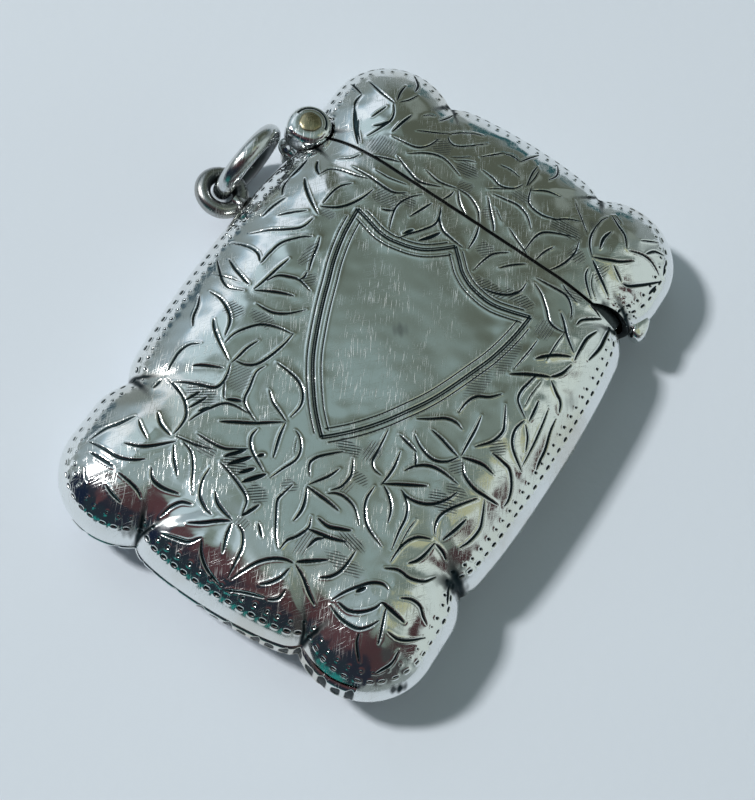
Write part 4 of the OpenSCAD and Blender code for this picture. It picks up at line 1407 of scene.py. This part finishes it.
# %% Rings of points
def ring_faces(rows, cols, close=True):
    """Faces between closed rings of points; close also joins the last ring to the first."""
    i = np.arange(rows if close else rows - 1)[:, None]
    j = np.arange(cols)[None]
    after, up = (j + 1) % cols, (i + 1) % rows
    quads = np.stack([i * cols + j, i * cols + after, up * cols + after, up * cols + j], -1)
    return quads.reshape(-1, 4).tolist()


def bend(centre, r, start, stop, count=8):
    """Points of an arc in a profile, angles in degrees."""
    a = np.radians(np.linspace(start, stop, count))
    return np.stack([centre[0] + r * np.cos(a), centre[1] + r * np.sin(a)], -1)


def spun(profile, centre, count=128):
    """A profile of radii and heights swung round an upright axis."""
    turn = np.linspace(0, 2 * np.pi, count, endpoint=False)
    r, z = np.asarray(profile).T[:, :, None]
    return np.stack([centre[0] + r * np.cos(turn), centre[1] + r * np.sin(turn), z + 0 * turn], -1)


print("a ring of 4 by 8 points has", len(ring_faces(4, 8)), "faces")

# %% Knuckles
KNUCKLE_R, KNUCKLE_L, BORE, LEAF_GAP = 1.9, 2.033, 0.78, 0.05
GROOVE_R, GROOVE_HALF, GROOVE_TURN, GROOVE_SLOPE = 1.40, 0.10, math.radians(84), 1.3
TAIL_AT, TAIL_WIDE, TAIL_SWELL = math.radians(-130), 0.45, 0.12


def knuckle(name, node, body, low, soft, grooved, mirror=False):
    """A rolled knuckle from the height low, its upper edge rounded by soft."""
    high = low + KNUCKLE_L
    r = KNUCKLE_R
    edge = np.radians(np.linspace(0, 90, 16))
    shoulder = np.stack([r - soft * (1 - np.cos(edge)), high - 0.7 * soft * (1 - np.sin(edge))], -1)
    profile = np.vstack([[(BORE, low)], bend((r - 0.1, low + 0.1), 0.1, -90, 0, 4), shoulder,
                         np.stack([np.linspace(r - soft, BORE, 16)[1:], np.full(15, high)], -1)])
    rings = spun(profile, HINGE)
    radius = np.hypot(rings[..., 0] - HINGE[0], rings[..., 1] - HINGE[1])
    turn = np.arctan2(rings[..., 1] - HINGE[1], rings[..., 0] - HINGE[0])
    cut = np.full(radius.shape, NO_CUT)
    if grooved:
        reach = GROOVE_R * (GROOVE_TURN - abs(turn - math.pi / 2))
        groove = np.minimum(GROOVE_HALF - abs(radius - GROOVE_R), reach)
        cut = np.where(rings[..., 2] > high - 0.5, groove, NO_CUT)
        rings[..., 2] -= GROOVE_SLOPE * np.clip(cut, 0, 1)
        tail = 1 + TAIL_SWELL * np.exp(-((turn - TAIL_AT) / TAIL_WIDE) ** 2) * (radius > 1.2)
        rings[..., :2] = HINGE + (rings[..., :2] - HINGE) * tail[..., None]
    # the lower part of each outer knuckle is painted dark as shade under its rolled top; the lid knuckle's
    # lower end gets a dark joint
    dirt_and_shade = 0.85 * np.clip((low + (1.15 if grooved else 0.25) - rings[..., 2]) / 0.2, 0, 1)
    faces = ring_faces(*radius.shape)
    points = rings.reshape(-1, 3)
    if mirror:
        points[:, 2] = 2 * MID - points[:, 2]
        faces = [f[::-1] for f in faces]
    mesh_piece(name, node, points, faces, PLAIN_SILVER, body, dirt_and_shade.ravel(), cut.ravel())


upper = MID + KNUCKLE_L / 2 + LEAF_GAP
knuckle("rolled_front_knuckle", "front_knuckle", "case", upper, 0.85, True)
knuckle("rolled_back_knuckle", "back_knuckle", "case", upper, 0.85, True, mirror=True)
knuckle("rolled_lid_knuckle", "lid_knuckle", "lid", MID - KNUCKLE_L / 2, 0.1, False)

# %% [markdown]
# ## Hinge pin
# The pin is of a yellower, harder metal, and its ends are hammered to low, not quite round heads.
# It could be a cylinder with two squashed balls; one swung profile has no seams, and a slow wave in
# its radius gives the uneven heads.

# %% Pin with hammered ends
SHAFT_R, HEAD_R, HEAD_RISE, PIN_SIDES = 0.73, 0.98, 0.22, 64
PIN_METAL = silver_material("pin_metal", polish=0.22, spread=1.0, metal=(0.46, 0.41, 0.26, 1))


def hinge_pin():
    end = upper + KNUCKLE_L
    dome = [(HEAD_R * math.cos(a), end - 0.02 + HEAD_RISE * math.sin(a))
            for a in np.radians(np.linspace(0, 88, 9))]
    upper_half = [(SHAFT_R, end - 0.25), (SHAFT_R, end - 0.04), (0.9, end - 0.03)] + dome
    profile = [(r, 2 * MID - z) for r, z in upper_half[::-1]] + upper_half
    rings = spun(profile, HINGE, PIN_SIDES)
    turn = np.linspace(0, 2 * np.pi, PIN_SIDES, endpoint=False)
    uneven = 1 + 0.025 * np.sin(3 * turn + 1) + 0.015 * np.sin(7 * turn)
    rings[..., :2] = HINGE + (rings[..., :2] - HINGE) * uneven[None, :, None]
    radii = np.array([r for r, z in profile])
    dirt_and_shade = np.repeat(np.where(radii > 0.9, 0.6, 0.12), PIN_SIDES)
    faces = ring_faces(len(profile), PIN_SIDES, close=False)
    mesh_piece("peened_hinge_pin", "hinge_pin", rings.reshape(-1, 3), faces, PIN_METAL, "case", dirt_and_shade)


hinge_pin()

# %% [markdown]
# ## Solder at the hinge
# A hollow fillet of hard solder runs from each outer knuckle to the body, and stops short of the
# lid's path. Joining the meshes with a boolean and a bevel could make it, but would disturb both.
# It is a strip bent round the knuckle instead: one edge up on the barrel, the other on the face of
# the body, and between them a quarter of a hollow.

# %% Solder fillet
FILLET_TURN, FILLET_ROWS, FILLET_COLS, FILLET_REACH = (-150, -85), 60, 9, 0.75


def solder_fillet(up):
    turn = np.radians(np.linspace(*FILLET_TURN, FILLET_ROWS))
    hollow = np.linspace(0, np.pi / 2, FILLET_COLS)
    rows = []
    for a in turn:
        heading = np.array([math.cos(a), math.sin(a)])
        share = (a - turn[0]) / (turn[-1] - turn[0])
        reach = FILLET_REACH * math.sin(share * math.pi) ** 0.6 + 0.02
        foot = HINGE + heading * (KNUCKLE_R + reach)
        ground = abs(float(height(*foot[:, None], up)[0]) - MID) - 0.04
        top = min(max(ground + 1.2 * reach, ground), upper + KNUCKLE_L - MID - 0.35)
        r = KNUCKLE_R - 0.03 + (reach + 0.03) * (1 - np.cos(hollow))
        z = top - (top - ground) * np.sin(hollow)
        rows.append(np.column_stack([HINGE + heading * r[:, None], MID + up * z]))
    quads = grid_quads(FILLET_ROWS, FILLET_COLS)
    faces = (quads[:, ::-1] if up < 0 else quads).tolist()
    side = "front" if up > 0 else "back"
    mesh_piece("solder_fillet_" + side, None, np.vstack(rows), faces, PLAIN_SILVER, "case", 0.12)


solder_fillet(1)
solder_fillet(-1)

# %% [markdown]
# ## Eye and loose ring
# Both are bent from round wire. A torus would be too even: so a ring is a circle swung round a larger
# circle, with a wire that may get thinner and thicker on the way. The joint of the loose ring, where
# its ends butt, is a narrow nick in the wire's thickness, and the eye's shank flares into its solder.

# %% Wire rings
WIRE_SIDES = 32


def wire_ring(centre, first, second, ring_r, wire_r, spots):
    """Points of a wire ring in the plane of two directions, ring by ring along its wire."""
    u, v = spots[None, :, None], np.linspace(0, 2 * np.pi, WIRE_SIDES, endpoint=False)[:, None, None]
    first, second = np.array(first, float), np.array(second, float)
    out = np.cos(u) * first + np.sin(u) * second
    thick = wire_r[None, :, None]
    aside = np.cross(first, second)
    return np.asarray(centre) + out * (ring_r + thick * np.cos(v)) + aside * thick * np.sin(v)


print("sides of the wire:", WIRE_SIDES)

# %% Ring eye
EYE, EYE_R, EYE_WIRE, EYE_LEAN = np.array([-19.6, 5.8, MID]), 1.70, 0.69, math.radians(14)
EYE_SPOTS, SHANK_ROWS, SHANK_SIDES, SHANK_X, SHANK_LONG = 96, 14, 48, -18.35, 1.12


def ring_eye():
    """A slanting wire loop, and the shank that joins it to the case."""
    spots = np.linspace(0, 2 * np.pi, EYE_SPOTS, endpoint=False)
    aslant = (0.85 * math.cos(EYE_LEAN), 0.53 * math.cos(EYE_LEAN), -math.sin(EYE_LEAN))
    wire = EYE_WIRE + 0.012 * np.sin(3 * spots)
    ring = wire_ring(EYE, aslant, (-0.53, 0.85, 0), EYE_R, wire, spots)
    along = np.linspace(0, 1, SHANK_ROWS)
    shank_x = np.tile((SHANK_X + along * SHANK_LONG)[:, None], (1, SHANK_SIDES))
    shank_r = (0.52 + 0.48 * along ** 3 + 0.10 * (1 - along) ** 2)[:, None]
    turn = np.linspace(0, 2 * np.pi, SHANK_SIDES, endpoint=False)
    shank = np.stack([shank_x, EYE[1] + shank_r * np.cos(turn), EYE[2] + shank_r * np.sin(turn)], -1)
    points = np.vstack([ring.reshape(-1, 3), shank.reshape(-1, 3)])
    ahead = WIRE_SIDES * EYE_SPOTS
    shank_faces = ring_faces(SHANK_ROWS, SHANK_SIDES, close=False)
    faces = ring_faces(WIRE_SIDES, EYE_SPOTS) + [[i + ahead for i in f] for f in shank_faces]
    # the inner side of the eye's wire, facing its hole, is painted almost black: painted shade with dirt; the
    # rest is tarnish
    inner = np.hypot(ring[..., 0] - EYE[0], ring[..., 1] - EYE[1]) < 1.35
    shank_dirt = np.repeat(0.25 + 0.6 * along ** 4, SHANK_SIDES)
    dirt_and_shade = np.concatenate([np.where(inner, 0.95, 0.55).ravel(), shank_dirt])
    mesh_piece("wire_ring_eye", "ring_eye", points, faces, PLAIN_SILVER, "case", dirt_and_shade)


ring_eye()

# %% Loose ring
RING_R, RING_WIRE, RING_YAW, RING_LEAN, RING_RISE = 3.42, 0.82, math.radians(4), math.radians(8), 0.17
JOINT_AT, JOINT_WIDE, JOINT_DEEP = 4.4, 0.010, 0.2


def loose_ring():
    """The ring in the eye, with more points where its wire's ends meet."""
    yaw, lean = RING_YAW, RING_LEAN
    forward = np.array([math.sin(yaw), math.cos(yaw), 0])
    upward = np.array([math.sin(lean) * math.cos(yaw), -math.sin(lean) * math.sin(yaw), math.cos(lean)])
    spots = np.unique(np.concatenate([np.linspace(0, 2 * np.pi, 140, endpoint=False),
                                      JOINT_AT + np.linspace(-0.03, 0.03, 13)]))
    nick = np.exp(-((spots - JOINT_AT) / JOINT_WIDE) ** 2)
    centre = EYE + RING_R * forward + [0, 0, RING_RISE]
    ring = wire_ring(centre, forward, upward, RING_R, RING_WIRE * (1 - JOINT_DEEP * nick), spots)
    # the inside of the ring, facing its hole, is painted darker as shade, over an even tarnish; the joint is
    # dirt
    within = np.clip(-np.cos(np.linspace(0, 2 * np.pi, WIRE_SIDES, endpoint=False)), 0, 1)[:, None]
    dirt_and_shade = np.clip(0.28 + 0.6 * nick + 0.7 * within ** 0.5, 0, 0.97).ravel()
    faces = ring_faces(WIRE_SIDES, len(spots))
    mesh_piece("loose_chain_ring", "jump_ring", ring.reshape(-1, 3), faces, PLAIN_SILVER, "jump_ring", dirt_and_shade)


loose_ring()

# %% [markdown]
# ## Thumbpiece
# A small tongue stands out from the lid's lobe for the thumb. A cut and bevelled plate would do for a
# new one; a worn one is soft all over. So its outline is drawn through a few points, and the same
# outline, drawn in a little at each height, gives it a pillowed edge.

# %% Thumbpiece
TONGUE = [(15.86, 15.2), (16.05, 14.70), (16.5, 14.50), (17.0, 14.60), (17.25, 15.10), (17.25, 15.8),
          (17.12, 16.4), (16.85, 17.0), (16.3, 17.0), (15.9, 16.2), (15.86, 15.2)]
TONGUE_SLOPE = 0.3


def thumbpiece():
    """The outline at each level, and a point in the middle of the bottom and of the top."""
    rim = through(TONGUE)[:-1]
    middle = rim.mean(axis=0)
    lean = np.radians(np.linspace(-90, 90, 17))
    levels = [(0.62 + 0.38 * math.cos(a), 0.15 + 0.75 * math.sin(a)) for a in lean]
    levels = [(0.3, -0.62)] + levels + [(0.3, 0.93)]
    rings = []
    for k, z in levels:
        drop = TONGUE_SLOPE * max(z, 0) * k * (rim[:, 0] - middle[0])
        rings.append(np.column_stack([middle + (rim - middle) * k, MID + z - drop]))
    points = np.vstack(rings + [[[*middle, MID - 0.63], [*middle, MID + 0.95]]])
    count, rows = len(rim), len(levels)
    faces = ring_faces(rows, count, close=False)
    faces += [[(j + 1) % count, j, rows * count] for j in range(count)]
    top = (rows - 1) * count
    faces += [[top + j, top + (j + 1) % count, rows * count + 1] for j in range(count)]
    mesh_piece("thumb_tongue", "thumbpiece", points, faces, PLAIN_SILVER, "lid", 0.05)


thumbpiece()

# %% [markdown]
# ## Striker
# Matches were struck on a row of small closed cells along the base. An array of ribs on a flat strip
# would have to be bent to the scalloped outline. So every point is found on the outline first and
# then moved out: full height on the ribs and rims, less in the cells, where soot has stayed.

# %% Striker
RIBS, BAND_LONG, BAND_WIDE, BAND_TILT = 22, 27.0, 1.5, math.tan(math.radians(4.5))
BAND_PROUD, CELL_DEEP, HEM, STEPS_PER_RIB = 0.17, 0.13, 0.22, 20


def striker():
    """A grid along the base's outline, raised by what stands proud."""
    long, wide = BAND_LONG, BAND_WIDE
    u = np.linspace(-long / 2, long / 2, RIBS * STEPS_PER_RIB + 1)
    v = np.linspace(-wide / 2, wide / 2, 31)
    uu, vv = np.meshgrid(u, v)
    from_rib = abs((uu / long * RIBS + 0.5) % 1 - 0.5) * long / RIBS
    squeeze = 0.10 * np.sin(2.3 * uu) + 0.06 * np.sin(5.1 * uu + 1)
    past_side = np.maximum(abs(vv) - wide / 2 + 0.49 + squeeze, 0)
    inside = 0.25 - np.hypot(np.maximum(0.42 - from_rib, 0), past_side)
    proud = BAND_PROUD - CELL_DEEP * np.clip(inside / 0.08, 0, 1)
    from_edge = np.minimum(long / 2 - abs(uu), wide / 2 - abs(vv))
    proud = proud - HEM * np.clip(1 - from_edge / HEM, 0, 1) ** 1.5
    rise = vv - 0.4 + uu * BAND_TILT
    inset = EDGE_ROLL * (1 - np.sqrt(1 - (rise / SHOULDER) ** 2)) - proud
    bearing = np.degrees(np.arctan2(-HALF_L, uu))
    spot = outline(bearing.ravel(), inset.ravel())
    points = np.column_stack([spot, MID + rise.ravel()])
    faces = grid_quads(*uu.shape).tolist()
    dirt_and_shade = np.clip(inside / 0.05, 0, 1) * 0.95
    mesh_piece("striker_band", "striker", points, faces, PLAIN_SILVER, "case", dirt_and_shade.ravel())


striker()

# %% [markdown]
# ## Mouth collar
# A thin collar stands up inside the mouth of the body and guides the lid on. The section of the case
# isn't a circle, so the collar can't be turned on a lathe: it is that section, a little smaller than
# the inside, drawn out along the case. Its lip is rounded, and at the lid's edge and the worn corner
# it is painted dark: dirt, and painted shade in the gap between lid and body.

# %% Collar
COLLAR_SIDES, COLLAR_OUT, COLLAR_IN = 240, 0.60, 0.95
# distance in from the case's face, and distance beyond the cut
COLLAR = [(COLLAR_OUT, -2.4), (COLLAR_OUT, -0.5), (COLLAR_OUT, -0.25), (COLLAR_OUT, 0.25),
          (COLLAR_OUT, 0.5), (COLLAR_OUT, 1.2), (0.66, 1.28), (0.78, 1.3), (0.90, 1.28), (COLLAR_IN, 1.2),
          (COLLAR_IN, -2.4)]


def mouth_collar():
    """The section at each point of the collar's profile, cleared of the hinge."""
    ahead = np.array([math.sin(LID_SLOPE), math.cos(LID_SLOPE)])
    side = np.array([math.cos(LID_SLOPE), -math.sin(LID_SLOPE)])
    turn = np.linspace(0, 2 * np.pi, COLLAR_SIDES, endpoint=False)

    def section(skin):
        left, right = (cut_end(LID_Y, s, skin) @ side for s in (-1, 1))
        run = (left + right) / 2 + (right - left) / 2 * np.cos(turn)
        spot = np.array([0, LID_Y]) + run[:, None] * side
        z = np.where(turn < np.pi, height(*spot.T, -1, skin), height(*spot.T, 1, skin))
        return spot, z

    rings, dirt_and_shade = [], []
    for skin, out in COLLAR:
        spot, z = section(skin)
        rings.append(np.column_stack([spot + out * ahead, z]))
        # painted dark at the lid's edge and the worn corner: dirt and painted shade of the gap
        dark = (skin == COLLAR_OUT) & ((abs(out) < 0.3) | (spot[:, 0] > 11.5))
        dirt_and_shade.append(np.where(dark, 0.95, 0.2))
    points = np.vstack(rings)
    lost = clear_of_hinge(points, BARREL_ROOM)
    faces = [f for f in ring_faces(len(COLLAR), COLLAR_SIDES) if not lost[f].all()]
    mesh_piece("mouth_collar_lip", "mouth_collar", points, faces, PLAIN_SILVER, "case", np.concatenate(dirt_and_shade))


mouth_collar()

# %% [markdown]
# ## Lid spring
# Inside, on the hinge side, a bowed strip of blued steel holds the lid open or shut. Its shape is
# right in the solid model, so only its finish is made here: steel that was heated to blue, with a
# straw colour where the heat was less.

# %% Blued steel
HEAT_BLUE, HEAT_STRAW, BARE_STEEL = (0.10, 0.13, 0.24, 1), (0.34, 0.27, 0.16, 1), (0.5, 0.5, 0.5, 1)


def blued_steel():
    """Blue and straw in clouds, with bright hairs where it has been rubbed."""
    material = bpy.data.materials.new("blued_spring_steel")
    material.use_nodes = True
    tree = material.node_tree
    shader = tree.nodes["Principled BSDF"]
    shader.inputs["Metallic"].default_value = 1.0
    tarnish = use_group(tree, TARNISH, Spread=1.0)
    hair = use_group(tree, SCRATCHES, Angle=1.57, Length=30.0)["Scratch"]
    heat = blend(tree, tarnish["Cloud"], HEAT_BLUE, HEAT_STRAW)
    colour = blend(tree, maths(tree, "MULTIPLY", hair, 0.5), heat, BARE_STEEL)
    plug(tree, shader.inputs["Base Color"], colour)
    rough = maths(tree, "ADD", 0.24, maths(tree, "MULTIPLY", tarnish["Smudge"], 0.2))
    plug(tree, shader.inputs["Roughness"], rough)
    return material


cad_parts["lid_spring"].data.materials.clear()
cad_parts["lid_spring"].data.materials.append(blued_steel())
print("lid spring: blued steel")

# %% Boxes and finish
visual_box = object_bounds()
size = [round((b - a) * 1000, 2) for a, b in zip(*visual_box)]
print("size:", size, "mm,", round(time.time() - started, 1), "s")
